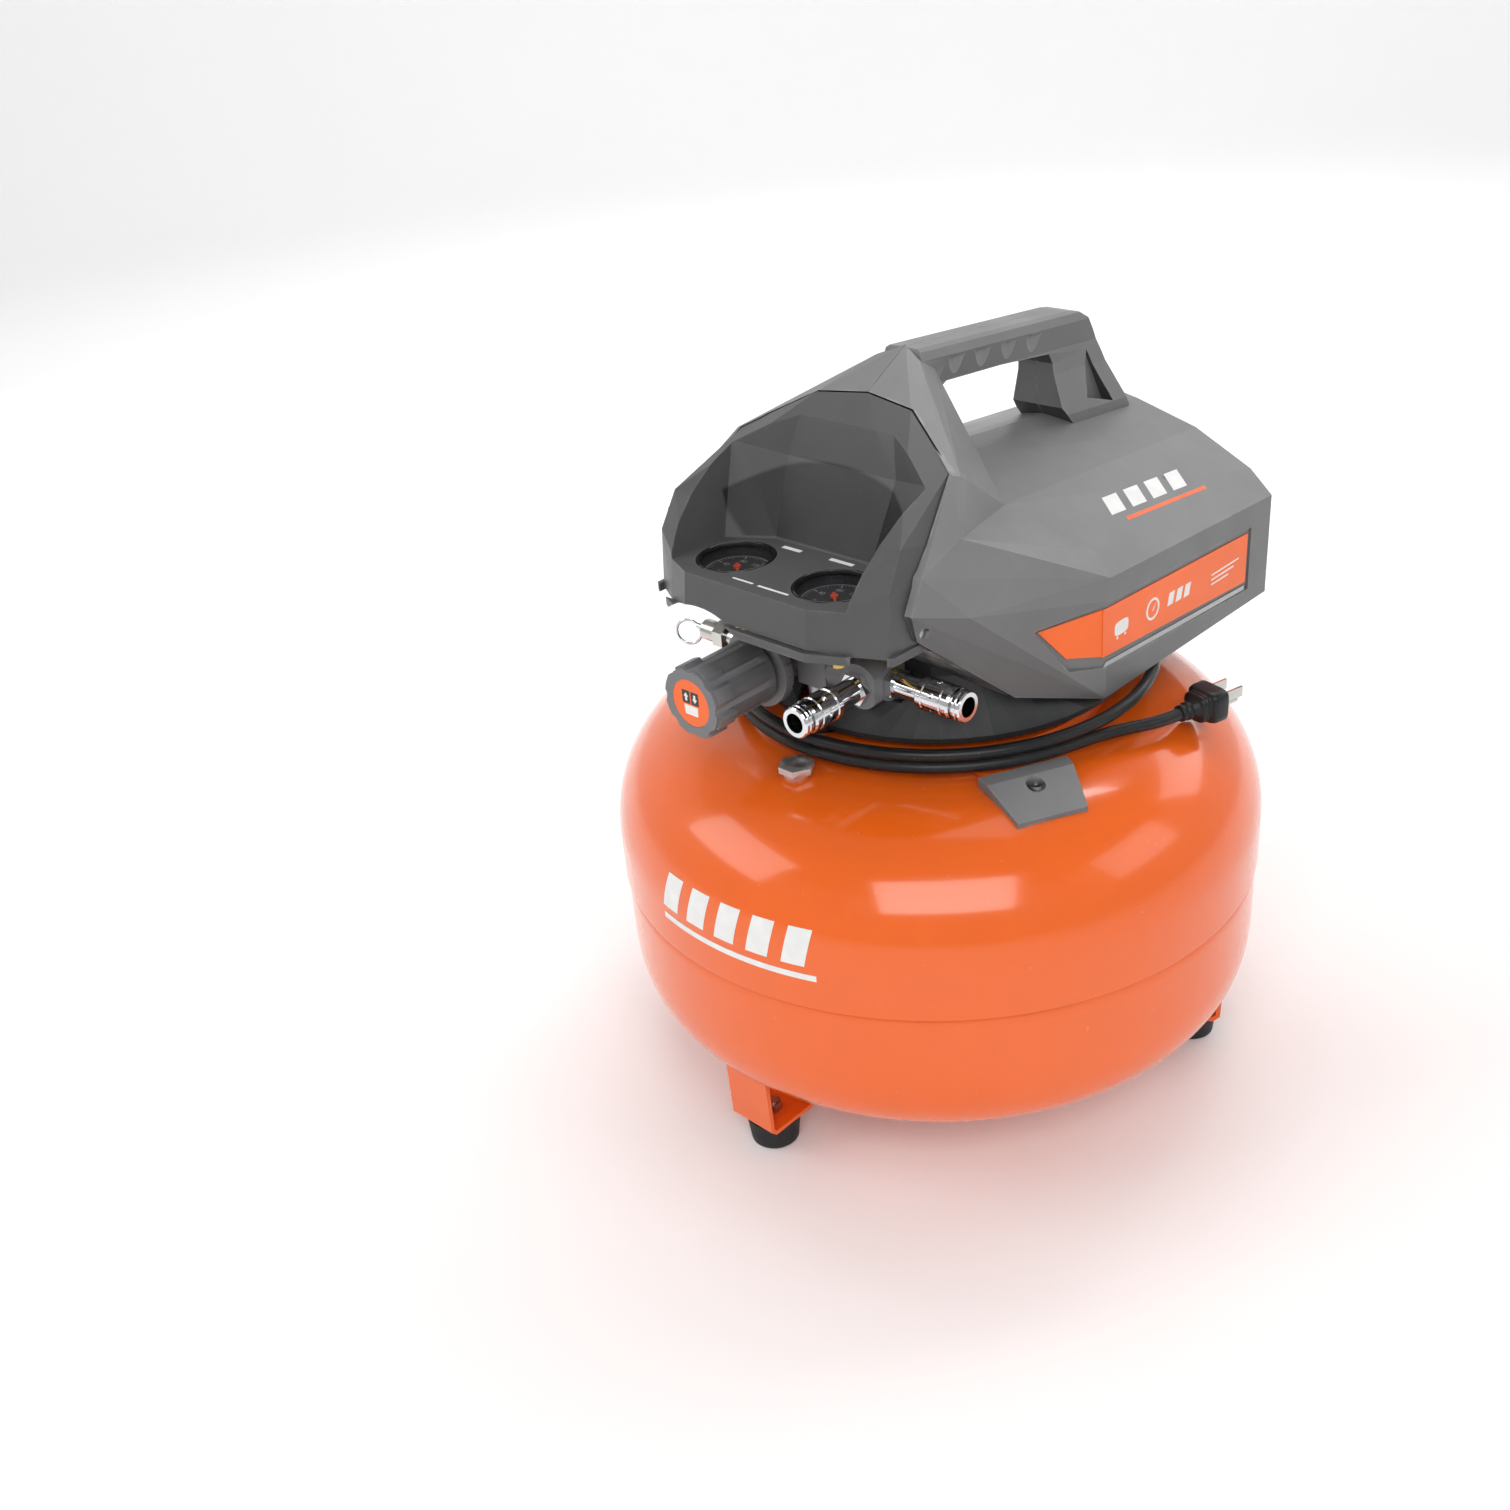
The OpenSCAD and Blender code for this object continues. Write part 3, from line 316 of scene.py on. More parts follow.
LOOKS = {
    "tank_paint": paint("tank_enamel", linear(236, 100, 24)),
    "rubber": rubber("foot_rubber", linear(34, 35, 37)),
    "zinc": metal("zinc_plate", linear(176, 178, 180), 0.34, linear(210, 210, 210)),
    "matte_plate": metal("matte_plate", linear(226, 226, 224), 0.55, linear(240, 240, 240), dirt=0.2),
    "nickel": metal("nickel_plate", linear(205, 203, 198), 0.2, linear(235, 232, 228)),
    "chrome": metal("bright_chrome", linear(222, 223, 226), 0.09, None, linear(70, 68, 66), dirt=0.35),
    "brass": metal("turned_brass", linear(205, 172, 98), 0.27, linear(235, 205, 140)),
    "copper": metal("drawn_copper", linear(200, 120, 84), 0.28, None),
    # The shroud's plastic carries painted shade on its downward faces.
    "shroud_grey": plastic("shroud_plastic", linear(120, 120, 121), 0.40, edge=linear(160, 160, 160),
                           painted_under_shade=(linear(52, 52, 53), 0.95)),
    # The console's plastic carries painted shade in the lower part of its gauge recess.
    "console_grey": plastic("console_plastic", linear(76, 76, 77), 0.40, edge=linear(122, 122, 122),
                            painted_recess_shade=(linear(26, 26, 27), 0.95)),
    "skirt_black": plastic("skirt_plastic", linear(38, 39, 41), 0.5),
    "label_orange": plastic("label_film", linear(246, 104, 26), 0.36, grain=900, strength=0.05),
    "fitting_grey": plastic("fitting_plastic", linear(118, 119, 121), 0.4),
    "knob_grey": plastic("knob_plastic", linear(112, 113, 115), 0.42, strength=0.3, edge=linear(150, 150, 150)),
    "black_plastic": plastic("black_plastic", linear(24, 25, 27), 0.3, strength=0.12),
    "dial_face": plastic("dial_card", linear(30, 27, 27), 0.5, strength=0.05),
    "needle_red": plastic("needle_paint", linear(222, 70, 34), 0.4, strength=0.05),
    "lens": glass("gauge_glass"),
    "switch_red": plastic("switch_plastic", linear(196, 44, 26), 0.38),
    "aluminium": metal("cast_aluminium", linear(172, 174, 176), 0.45, linear(200, 200, 200)),
    "laminations": metal("core_steel", linear(120, 122, 124), 0.5, brushed=(1, 14, 1)),
    "rotor_copper": metal("rotor_metal", linear(160, 122, 84), 0.4),
    "seal": rubber("piston_seal", linear(52, 52, 54), 0.5),
    "can": metal("capacitor_can", linear(214, 216, 218), 0.3),
    "cord_black": rubber("cord_jacket", linear(24, 25, 27), 0.36),
}
for row in frame["record"]["subparts"]:
    for material_slot in nodes[row["node"]].material_slots:
        material_slot.material = LOOKS[row["material_slot"]]
for name, look in (("plug_blades", "nickel"), ("tank_hex_plug", "matte_plate"), ("tank_outlet_bung", "zinc")):
    for material_slot in nodes[name].material_slots:
        material_slot.material = LOOKS[look]


# Helpers for new pieces

def add_mesh(name, bm, slot, body="compressor", smooth=True, material=None):
    bmesh.ops.recalc_face_normals(bm, faces=bm.faces)
    mesh = bpy.data.meshes.new(name)
    bm.to_mesh(mesh)
    bm.free()
    mesh.materials.append(material or LOOKS[slot])
    if smooth:
        mesh.shade_smooth()
    piece = bpy.data.objects.new(name, mesh)
    bpy.context.scene.collection.objects.link(piece)
    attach(piece, body)
    return piece


def soften(piece, width, segments=2, angle=30):
    """Rounds the sharp edges of a piece or a CAD node with modifiers only."""
    weld = piece.modifiers.new("weld", "WELD")
    weld.merge_threshold = 0.00001
    bevel = piece.modifiers.new("bevel", "BEVEL")
    bevel.width = width
    bevel.segments = segments
    bevel.limit_method = "ANGLE"
    bevel.angle_limit = math.radians(angle)
    bevel.harden_normals = True
    return piece


def lathe(outline, steps, turn=Matrix.Identity(4), closed=False):
    """The surface that an outline of (radius, height) in millimetres sweeps about Z, moved by turn."""
    bm = bmesh.new()
    rings = []
    for radius, height in outline:
        if radius < 1e-6:
            rings.append([bm.verts.new(turn @ Vector((0, 0, height * MM)))])
            continue
        ring = []
        for k in range(steps):
            x = radius * MM * math.cos(TAU * k / steps)
            y = radius * MM * math.sin(TAU * k / steps)
            ring.append(bm.verts.new(turn @ Vector((x, y, height * MM))))
        rings.append(ring)
    pairs = list(zip(rings, rings[1:])) + ([(rings[-1], rings[0])] if closed else [])
    for low, high in pairs:
        for k in range(steps):
            m = (k + 1) % steps
            corners = [low[k % len(low)], low[m % len(low)], high[m % len(high)], high[k % len(high)]]
            distinct = list(dict.fromkeys(corners))
            if len(distinct) > 2:
                bm.faces.new(distinct)
    return bm


# Mains cord, wound a little more than one and a half turns round the skirt, in millimetres and degrees

CORD_RADIUS = 3.75
SKIRT_CENTRE = (0, 12)
WRAP_RADIUS = 131
WRAP_START = 110
WRAP_TURN = 590
WRAP_STEP = 10
LOW_STRAND_Z = 263
STRAND_RISE = 7.8
DROP_START = 270
DROP_SPAN = 60
GLAND = (8, 130, 270.8)
GLAND_TURN = 152
GLAND_REACH = 8
PLUG = (151, 45, 259.5)
PLUG_TURN = 76


def wrap_point(turned):
    """A point of the winding, which drops from the upper strand to the lower over part of a turn."""
    share = min(max((turned - DROP_START) / DROP_SPAN, 0), 1)
    drop = share * share * (3 - 2 * share)
    angle = math.radians(WRAP_START + turned)
    return (SKIRT_CENTRE[0] + WRAP_RADIUS * math.cos(angle), SKIRT_CENTRE[1] + WRAP_RADIUS * math.sin(angle),
            LOW_STRAND_Z + STRAND_RISE * (1 - drop))


# From inside the skirt through the strain relief, round the skirt, and down to the plug on the tank's shoulder
cord_route = [(22, 122.6, 270.8), GLAND, (-8, 137.2, 270.8), (-26, 139.8, 270.8)]
cord_route += [wrap_point(turned) for turned in range(0, WRAP_TURN + 1, WRAP_STEP)]
cord_route += [(132, -8, 262.9), (140, 10, 262.2), (147, 28, 260.6), PLUG, (152.2, 50, 259.5)]


def add_cord():
    curve = bpy.data.curves.new("mains_cord", "CURVE")
    curve.dimensions = "3D"
    curve.bevel_depth = CORD_RADIUS * MM
    curve.bevel_resolution = 6
    curve.resolution_u = 6
    curve.use_fill_caps = True
    spline = curve.splines.new("BEZIER")
    spline.bezier_points.add(len(cord_route) - 1)
    for knot, point in zip(spline.bezier_points, cord_route):
        knot.co = Vector(point) * MM
        knot.handle_left_type = knot.handle_right_type = "AUTO"
    curve.materials.append(LOOKS["cord_black"])
    piece = bpy.data.objects.new("mains_cord", curve)
    bpy.context.scene.collection.objects.link(piece)
    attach(piece, "compressor")
    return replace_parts(piece, "power_cord")


def at_gland():
    heading = math.radians(GLAND_TURN)
    axis = Vector((math.cos(heading), math.sin(heading), 0))
    turn = axis.to_track_quat("Z", "Y").to_matrix().to_4x4()
    return Matrix.Translation(Vector(GLAND) * MM) @ turn, axis


def add_gland():
    """Tapered strain relief with moulded rings."""
    ring_count, pitch, taper = 5, 2, 0.26
    turn, axis = at_gland()
    outline = [(3.8, -14), (5.6, -14), (6, -13.4), (6, -3)]
    for i in range(ring_count):
        z = -2.4 + pitch * i
        r = 5.95 - taper * i
        outline += [(r, z), (r, z + 0.9), (r - 0.75, z + 1.15), (r - 0.8, z + 1.65)]
    outline += [(4.5, 7.7), (4.1, GLAND_REACH), (3.8, GLAND_REACH), (3.8, 0)]
    piece = add_mesh("strain_relief", lathe(outline, 48, turn, closed=True), "cord_black")
    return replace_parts(piece, "cord_gland"), axis


def superellipse(half_y, half_z, power, steps):
    """Points of a rounded rectangle, rounder the nearer power is to 2."""
    ring = []
    for k in range(steps):
        a = TAU * k / steps
        c, s = math.cos(a), math.sin(a)
        ring.append((math.copysign(abs(c) ** (2 / power), c) * half_y,
                     math.copysign(abs(s) ** (2 / power), s) * half_z))
    return ring


def add_plug():
    """Moulded plug: ringed relief that swells into a grip, a waist with ribs, and a broad face.

    A section is its place along the plug, its half width, its half height and its superellipse's power.
    """
    turn = Matrix.Translation(Vector(PLUG) * MM) @ Matrix.Rotation(math.radians(PLUG_TURN), 4, "Z")
    sections = [(0, 4.3, 4.3, 2), (0.4, 5.0, 5.0, 2), (2.6, 5.2, 5.2, 2), (3.0, 4.5, 4.5, 2), (4.2, 4.6, 4.6, 2),
                (4.6, 5.5, 5.5, 2), (6.8, 5.7, 5.7, 2), (7.2, 4.9, 4.9, 2), (8.4, 5.0, 5.0, 2), (8.8, 6, 6, 2),
                (10.6, 6.4, 6.3, 2.2), (11.4, 7.6, 7.4, 2.8), (12.6, 8.9, 8.7, 3.4), (13.4, 8.9, 8.7, 3.6),
                (13.8, 8.3, 8.1, 3.6), (14.4, 8.3, 8.1, 3.6), (14.8, 9, 8.8, 3.8), (15.8, 9, 8.9, 3.8),
                (16.2, 8.4, 8.3, 3.8), (16.8, 8.5, 8.4, 3.8), (17.4, 10.6, 9.4, 4), (18.6, 11.6, 9.9, 4.4),
                (20.5, 12, 10.2, 5), (27.6, 12, 10.2, 5.4), (28.6, 11.6, 9.8, 5.2), (29, 10.8, 9.0, 5),
                (29, 6, 5, 4)]
    steps = 64
    bm = bmesh.new()
    rings = []
    for x, half_y, half_z, power in sections:
        outline = superellipse(half_y, half_z, power, steps)
        rings.append([bm.verts.new(turn @ Vector((x * MM, y * MM, z * MM))) for y, z in outline])
    for low, high in zip(rings, rings[1:]):
        for k in range(steps):
            bm.faces.new((low[k], low[(k + 1) % steps], high[(k + 1) % steps], high[k]))
    bm.faces.new(rings[0])
    bm.faces.new(rings[-1])
    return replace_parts(add_mesh("moulded_plug", bm, "cord_black"), "power_plug")


cord = add_cord()
relief, gland_axis = add_gland()
plug = add_plug()


# Tank shells, turned at a fine step so that the enamel reflects without facets, in millimetres

TANK_RADIUS = 205.6
KNUCKLE = 75
KNUCKLE_Z = 177
CROWN = 1000
LOWER_RADIUS = 204.4
BOWL_Z = 114
BOWL_DEPTH = 82.5
BOWL_POWER = 3.4
TANK_STEPS = 288


def arc(radius, knuckle, start, end, count):
    """Points of (radius, height) on the knuckle, from start to end in degrees."""
    out = []
    for i in range(count + 1):
        a = math.radians(start + (end - start) * i / count)
        out.append((radius - knuckle + knuckle * math.cos(a), knuckle * math.sin(a)))
    return out


def dished(radius, knuckle, crown, arc_steps=40, crown_steps=12):
    """A dished end: a knuckle that runs into a shallow crown, whose last point is on the axis."""
    tilt = math.degrees(math.asin((radius - knuckle) / (crown - knuckle)))
    rise = crown - math.sqrt((crown - knuckle) ** 2 - (radius - knuckle) ** 2)
    points = arc(radius, knuckle, 0, 90 - tilt, arc_steps)
    for i in range(1, crown_steps + 1):
        a = math.radians(tilt * (1 - i / crown_steps))
        points.append((max(crown * math.sin(a), 0), rise - crown + crown * math.cos(a)))
    return points


def add_tank(bowl_steps=72):
    top = [(202.9, 148), (205.2, 148), (205.55, 148.4)]
    top += [(TANK_RADIUS, height) for height in (149, 152, 160, 170)]
    top += [(r, z + KNUCKLE_Z) for r, z in dished(TANK_RADIUS, KNUCKLE, CROWN)]
    piece = add_mesh("tank_upper_skin", lathe(top, TANK_STEPS), "tank_paint")
    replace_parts(piece, "tank_top_shell")
    bottom = [(202.9, 148.6), (204.0, 148.6)]
    bottom += [(LOWER_RADIUS, height) for height in (148.2, 140, 128)]
    for i in range(bowl_steps):
        a = math.radians(90 * i / bowl_steps)
        bottom.append((LOWER_RADIUS * math.cos(a) ** (2 / BOWL_POWER),
                       BOWL_Z - BOWL_DEPTH * math.sin(a) ** (2 / BOWL_POWER)))
    bottom.append((0, BOWL_Z - BOWL_DEPTH))
    piece = add_mesh("tank_lower_skin", lathe(bottom, TANK_STEPS), "tank_paint")
    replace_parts(piece, "tank_bottom_shell")


add_tank()


# Rounded edges on the CAD nodes that show

for name, width in (("shroud_right", 1.0), ("shroud_left", 1.0), ("console", 0.8), ("shroud_skirt", 0.8),
                    ("wedge_feet", 0.9), ("regulator_knob", 0.5), ("regulator_collar", 0.5), ("regulator_body", 0.4),
                    ("manifold", 0.5), ("leg_front", 0.5), ("leg_right", 0.5), ("leg_left", 0.5),
                    ("tank_hex_plug", 0.4), ("switch_panel", 0.6), ("switch_lever", 0.6), ("gauge_cases", 0.25)):
    soften(nodes[name], width * MM)


# Printed marks in millimetres. All are plain generic shapes: bars, arrows and pictograms.

PRINT_LIFT = 0.12
PRINT_SINK = 0.05


def ink(name, colour, rough=0.35):
    look = Look(name, colour, rough, specular=0.45)
    look.mottle(120, 0.05).gloss(200, 0.05)
    look.bump(900, 0.08, 0.0001)
    return look.done()


INK_WHITE = ink("ink_white", linear(232, 232, 230))
INK_ORANGE = ink("ink_orange", linear(240, 100, 34))
INK_DARK = ink("ink_dark", linear(40, 40, 42))
# Grey ink for the dial scales, also used as the painted highlight under the labels.
GREY_INK_AND_LEDGE_HIGHLIGHT = ink("grey_ink_and_ledge_highlight", linear(176, 177, 178))


def flat_print(name, shapes, to_space, slot, material, body="compressor", thick=PRINT_LIFT):
    """Thin raised prints, also used for the painted highlight under each label: each shape is a list of 2-D points,
    and to_space maps (u, v, height) to metres.
    """
    bm = bmesh.new()
    for shape in shapes:
        low = [bm.verts.new(to_space(u, v, -PRINT_SINK)) for u, v in shape]
        high = [bm.verts.new(to_space(u, v, thick)) for u, v in shape]
        count = len(shape)
        bm.faces.new(high)
        bm.faces.new(low[::-1])
        for k in range(count):
            bm.faces.new((low[k], low[(k + 1) % count], high[(k + 1) % count], high[k]))
    return add_mesh(name, bm, slot, body, smooth=False, material=material)


def plane_map(origin, along, up):
    """A map from (u, v, height) in millimetres to a plane with the given axes."""
    along = Vector(along).normalized()
    normal = along.cross(Vector(up)).normalized()
    across = normal.cross(along)
    origin = Vector(origin)
    return lambda u, v, h: (origin + along * u + across * v + normal * h) * MM


def bar(x0, y0, x1, y1, lean=0.0):
    """A bar whose top edge is moved by lean."""
    return [(x0, y0), (x1, y0), (x1 + lean, y1), (x0 + lean, y1)]


SHELF_Z = 376
flat_print("shelf_marks", [bar(-17, -146.6, -1.6, -145.2), bar(2.6, -147, 25, -145.4),
                           bar(-24, -99.4, -10, -96.4), bar(11, -98.2, 28, -95.2)],
           plane_map((0, 0, SHELF_Z), (1, 0, 0), (0, 1, 0)), "dial_face", INK_WHITE)

KNOB = (-35, -171, 303)
KNOB_SINK = 0.2


def knob_space(u, v, h):
    """(u, v) to the right and up from the centre of the knob's front face."""
    return Vector((KNOB[0] + u, KNOB[1] + KNOB_SINK - h, KNOB[2] + v)) * MM


def ring_shapes(centre, inner, outer, steps):
    """A flat ring as small quads."""
    x, y = centre
    out = []
    for k in range(steps):
        a, b = TAU * k / steps, TAU * (k + 1) / steps
        out.append([(x + r * math.cos(t), y + r * math.sin(t)) for r, t in
                    ((inner, a), (outer, a), (outer, b), (inner, b))])
    return out


flat_print("knob_dark_marks", [bar(-6.6, -0.6, -0.5, 7.6), bar(0.5, -0.6, 6.6, 7.6)], knob_space,
           "knob_grey", INK_DARK, "knob", 0.1)
arrow = [(-1.9, 0), (-0.8, 0), (-0.8, -2.6), (0.8, -2.6), (0.8, 0), (1.9, 0), (0, 2.6)]
arrow_up = [(x - 3.5, y + 3.6) for x, y in arrow]
arrow_down = [(x + 3.5, 3.4 - y) for x, y in arrow[::-1]]
plate = [(5.6, -1.6), (5.0, -7.6), (-5.0, -7.6), (-5.6, -1.6)]
flat_print("knob_white_marks", [arrow_up, arrow_down, plate], knob_space, "knob_grey", INK_WHITE, "knob", 0.16)


# Gauge dials: ticks, numbers and a coloured band under the glass, in millimetres and degrees

GAUGE_NAMES = {-1: "tank", 1: "outlet"}
GAUGE_X = 36.9
GAUGE_Y = -123
DIAL_Z = 368
DIAL_START = 135
DIAL_SWEEP = 270
DIAL_TOP = 200
TICKS = 40
BAND_PARTS = 54
BAND_COLOURED_FROM = 45
NUMBER_STEPS = 5
NUMBER_SIZE = 4.4
NUMBER_RADIUS = 11.2


def text_shapes(text, size, x, y):
    """The mesh of a number, centred on (x, y)."""
    curve = bpy.data.curves.new("number", "FONT")
    curve.body = text
    curve.size = size * MM
    curve.align_x = "CENTER"
    curve.align_y = "CENTER"
    curve.resolution_u = 3
    holder = bpy.data.objects.new("number", curve)
    bpy.context.scene.collection.objects.link(holder)
    bpy.context.view_layer.update()
    mesh = bpy.data.meshes.new_from_object(holder.evaluated_get(bpy.context.evaluated_depsgraph_get()))
    mesh.transform(Matrix.Translation((x * MM, y * MM, 0)))
    bpy.data.objects.remove(holder)
    bpy.data.curves.remove(curve)
    return mesh


def tick_shape(i):
    """The inner radius and half width of a tick: long and wide at a number, and middling half way between."""
    if i % 8 == 0:
        return 14.6, 0.34
    return (15.8 if i % 4 == 0 else 16.8), 0.16


def add_dial(side):
    """The scale and the coloured band of one gauge."""
    centre = Vector((side * GAUGE_X, GAUGE_Y, DIAL_Z))
    ticks = bmesh.new()
    band = bmesh.new()

    def quad(target, a, r0, r1, half, lift):
        turn = Matrix.Rotation(a, 3, "Z")
        outline = ((-half, r0), (half, r0), (half, r1), (-half, r1))
        corners = [turn @ Vector((x, y, lift)) for x, y in outline]
        target.faces.new([target.verts.new((centre + c) * MM) for c in corners])

    for i in range(TICKS + 1):
        inner, half = tick_shape(i)
        quad(ticks, math.radians(DIAL_START - DIAL_SWEEP / TICKS * i), inner, 18.2, half, PRINT_LIFT)
    part = DIAL_SWEEP / BAND_PARTS
    for i in range(BAND_PARTS):
        a = math.radians(DIAL_START - part * i - part / 2)
        target = band if i >= BAND_COLOURED_FROM else ticks
        quad(target, a, 18.6, 19.3, 19 * math.radians(part / 2), 0.08)
    for i in range(NUMBER_STEPS + 1):
        a = math.radians(DIAL_START - DIAL_SWEEP / NUMBER_STEPS * i + 90)
        mesh = text_shapes(str(DIAL_TOP * i // NUMBER_STEPS), NUMBER_SIZE,
                           NUMBER_RADIUS * math.cos(a), NUMBER_RADIUS * math.sin(a))
        mesh.transform(Matrix.Translation((centre + Vector((0, 0, PRINT_LIFT))) * MM))
        ticks.from_mesh(mesh)
        bpy.data.meshes.remove(mesh)
    name = GAUGE_NAMES[side]
    add_mesh(name + "_dial_scale", ticks, "dial_face", smooth=False, material=GREY_INK_AND_LEDGE_HIGHLIGHT)
    add_mesh(name + "_dial_band", band, "dial_face", smooth=False, material=INK_ORANGE)


for side in GAUGE_NAMES:
    add_dial(side)

GLOSS_BLACK = plastic("gloss_black", linear(18, 18, 20), 0.14, strength=0.03)


def add_bezel(side):
    """Rolled glossy rim round a gauge."""
    turn = Matrix.Translation(Vector((side * GAUGE_X, GAUGE_Y, 0)) * MM)
    outline = [(20.95, 373.4), (20.95, 375.4), (21.1, 376.0), (21.5, 376.35), (22.0, 376.4), (22.5, 376.2),
               (22.8, 375.8), (22.85, 375.3), (22.7, 374.9), (22.7, 373.4)]
    add_mesh(GAUGE_NAMES[side] + "_gauge_rim", lathe(outline, 96, turn, closed=True), "black_plastic",
             material=GLOSS_BLACK)


for side in GAUGE_NAMES:
    add_bezel(side)


# Marks on the shroud and the tank, and a painted highlight under each label, in millimetres

LABEL_X = 121.5
LABEL_CORNER = (10, 302)


def side_space(side):
    """(u, v) on the label of one side, towards the rear and up, from the label's lower front corner."""
    return lambda u, v, h: Vector((side * (LABEL_X + h), LABEL_CORNER[0] + u, LABEL_CORNER[1] + v)) * MM


def gauge_mark(x, y, radius):
    """Pictogram of a gauge: a ring and its needle."""
    needle = [(x - 0.7, y - 1.2), (x + 0.7, y - 1.2), (x + radius * 0.5, y + radius * 0.46)]
    return ring_shapes((x, y), radius * 0.78, radius, 40) + [needle]


def tank_mark(x, y, half_x=7, half_y=4.4, steps=40):
    """Side view of a tank: a rounded body and two feet."""
    body = [(x + u, y + v) for u, v in superellipse(half_x, half_y, 4, steps)]
    return [body, bar(x - 4.8, y - 6.4, x - 3.2, y - 4.9), bar(x + 3.2, y - 6.4, x + 4.8, y - 4.9)]


def label_marks():
    """A tank, a gauge, three leaning bars and three thin lines, set along the label's slope."""
    marks = tank_mark(17, 13.5) + gauge_mark(50, 12.2, 7)
    for i in range(3):
        left, fall = 66 + 9 * i, 0.55 * i
        marks.append(bar(left, 7.6 - fall, left + 6, 15.6 - fall, 2))
    for i in range(3):
        fall = 3.2 * i
        marks.append(bar(116, 9.2 - fall, 148 - 6 * i, 10.2 - fall))
    return marks


for side, name in ((1, "right"), (-1, "left")):
    flat_print(name + "_label_marks", label_marks(), side_space(side), "label_orange", INK_WHITE)
    # A light grey strip under each label is painted highlight, standing for the lit ledge below the label.
    flat_print(name + "_label_ledge_painted_highlight", [[(2, -3.4), (157, -12.2), (157, -15.2), (-1, -6.6)]], side_space(side),
               "shroud_grey", GREY_INK_AND_LEDGE_HIGHLIGHT, thick=-0.5)

DECK_NORMAL = Vector((0.545, 0.039, 0.837)).normalized()
DECK_POINT = Vector((95.3, 95.0, 365.4))
DECK_ALONG = Vector((0.04, 0.99, -0.072)).normalized()


def deck_space(u, v, h):
    """(u, v) on the slope of the deck's right side, towards the rear and up the slope."""
    along = (DECK_ALONG - DECK_NORMAL * DECK_ALONG.dot(DECK_NORMAL)).normalized()
    up = DECK_NORMAL.cross(along)
    return (DECK_POINT + along * u + up * v + DECK_NORMAL * h) * MM


flat_print("deck_white_marks", [bar(-38 + 21 * i, 0, -38 + 21 * i + 14, 13, 4) for i in range(4)], deck_space,
           "shroud_grey", INK_WHITE)
flat_print("deck_orange_mark", [bar(-30, -7, 52, -4.4, 1)], deck_space, "shroud_grey", INK_ORANGE)


def tank_space(u, v, h):
    """(u, v) round the tank from its front, and up its skin from where the knuckle starts."""
    a = v / KNUCKLE if v > 0 else 0
    r = TANK_RADIUS - KNUCKLE + (KNUCKLE + h) * math.cos(a)
    z = KNUCKLE_Z + (KNUCKLE + h) * math.sin(a) if v > 0 else KNUCKLE_Z + v
    t = u / TANK_RADIUS - TAU / 4
    return Vector((r * math.cos(t), r * math.sin(t), z)) * MM


def wrapped_print(name, bars, to_space, slot, material, steps=16):
    """Leaning bars on a curved skin, cut finely so that they follow it. A bar is x0, y0, x1, y1, lean."""
    bm = bmesh.new()
    for x0, y0, x1, y1, lean in bars:
        rows = max(2, round(abs(y1 - y0) / 2))
        grid = {}
        for i in range(steps + 1):
            for j in range(rows + 1):
                u = x0 + (x1 - x0) * i / steps + lean * j / rows
                grid[i, j] = bm.verts.new(to_space(u, y0 + (y1 - y0) * j / rows, PRINT_LIFT))
        for i in range(steps):
            for j in range(rows):
                bm.faces.new((grid[i, j], grid[i + 1, j], grid[i + 1, j + 1], grid[i, j + 1]))
    return add_mesh(name, bm, slot, material=material)


tank_bars = [(-46 + 24 * i, 0, -46 + 24 * i + 15, 24, 5) for i in range(5)]
tank_bars.append((-46, -9, 72, -5, 0))
wrapped_print("tank_marks", tank_bars, tank_space, "tank_paint", INK_WHITE)


# Floor, backdrop and studio light, in metres

FLOOR_RADIUS = 3.2
COVE_RADIUS = 1.4
COVE_PARTS = 12
WALL_TOP = (4.6, 3.4)

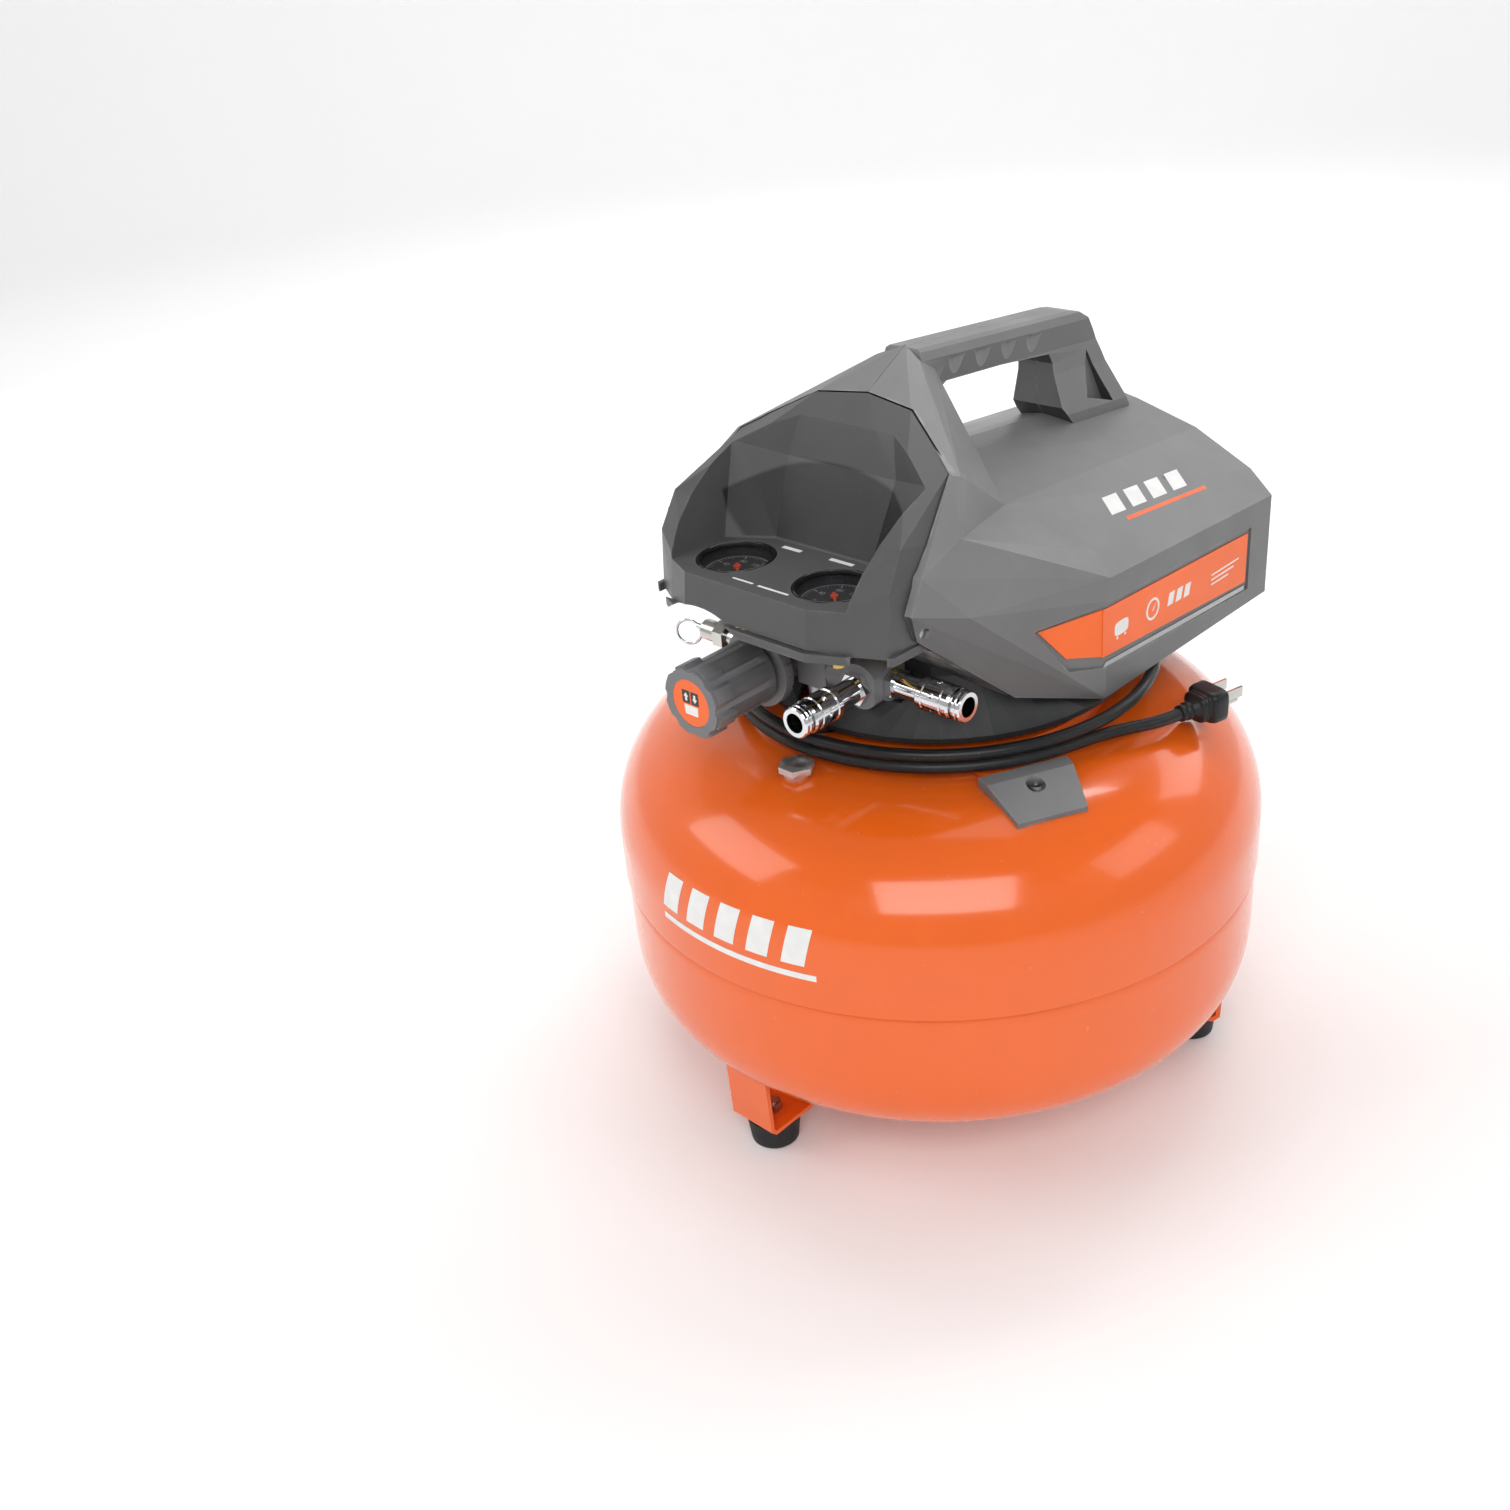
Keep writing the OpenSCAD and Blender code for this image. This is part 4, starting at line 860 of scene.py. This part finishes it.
# Name, place, target, width, height, power
LIGHTS = (
    ("left_softbox", (-1.3, -1.5, 1.5), (0.0, 0.0, 0.25), 1.5, 1.0, 12),
    ("front_softbox", (1.25, -1.35, 1.55), (0.0, 0.0, 0.25), 1.7, 1.1, 23),
    ("right_softbox", (2.0, 0.9, 1.35), (0.0, 0.0, 0.25), 1.2, 0.9, 5),
    ("rear_softbox", (0.5, 2.1, 1.5), (0.05, 0.0, 0.35), 1.6, 0.8, 8),
    ("top_softbox", (-0.3, 0.6, 2.5), (0.0, 0.0, 0.3), 1.5, 1.5, 6),
    ("backdrop_light", (-0.6, 0.9, 2.6), (-2.2, 2.2, 0.6), 2.4, 1.0, 60),
)
WORLD_STRENGTH = 0.30


def add_stage():
    """White paper all round: a flat floor, a cove and a wall."""
    look = Look("studio_paper", linear(250, 250, 250), 0.8, specular=0.2)
    look.mottle(0.7, 0.006).gloss(2, 0.03)
    look.bump(300, 0.02, 0.0003)
    material = look.done()
    outline = [(0, 0), (0.02, 0), (0.5, 0), (1.5, 0), (FLOOR_RADIUS, 0)]
    for i in range(1, COVE_PARTS + 1):
        a = math.radians(90 / COVE_PARTS * i)
        outline.append((FLOOR_RADIUS + COVE_RADIUS * math.sin(a), COVE_RADIUS - COVE_RADIUS * math.cos(a)))
    outline.append(WALL_TOP)
    bm = lathe([(r / MM, z / MM) for r, z in outline], 96)
    bmesh.ops.recalc_face_normals(bm, faces=bm.faces)
    mesh = bpy.data.meshes.new("studio_paper")
    bm.to_mesh(mesh)
    bm.free()
    mesh.shade_smooth()
    mesh.materials.append(material)
    floor = bpy.data.objects.new("studio_paper", mesh)
    bpy.context.scene.collection.objects.link(floor)


def add_light(name, place, target, width, height, power):
    data = bpy.data.lights.new(name, "AREA")
    data.shape = "RECTANGLE"
    data.size, data.size_y = width, height
    data.energy = power
    lamp = bpy.data.objects.new(name, data)
    bpy.context.scene.collection.objects.link(lamp)
    aim = (Vector(target) - Vector(place)).to_track_quat("-Z", "Y")
    lamp.matrix_world = Matrix.Translation(place) @ aim.to_matrix().to_4x4()


def add_world():
    world = bpy.data.worlds.new("studio")
    world.use_nodes = True
    background = world.node_tree.nodes["Background"]
    background.inputs["Color"].default_value = (1, 1, 1, 1)
    background.inputs["Strength"].default_value = WORLD_STRENGTH
    bpy.context.scene.world = world
    bpy.context.scene.view_settings.view_transform = "Standard"
    bpy.context.scene.view_settings.look = "None"


add_stage()
for light in LIGHTS:
    add_light(*light)
add_world()
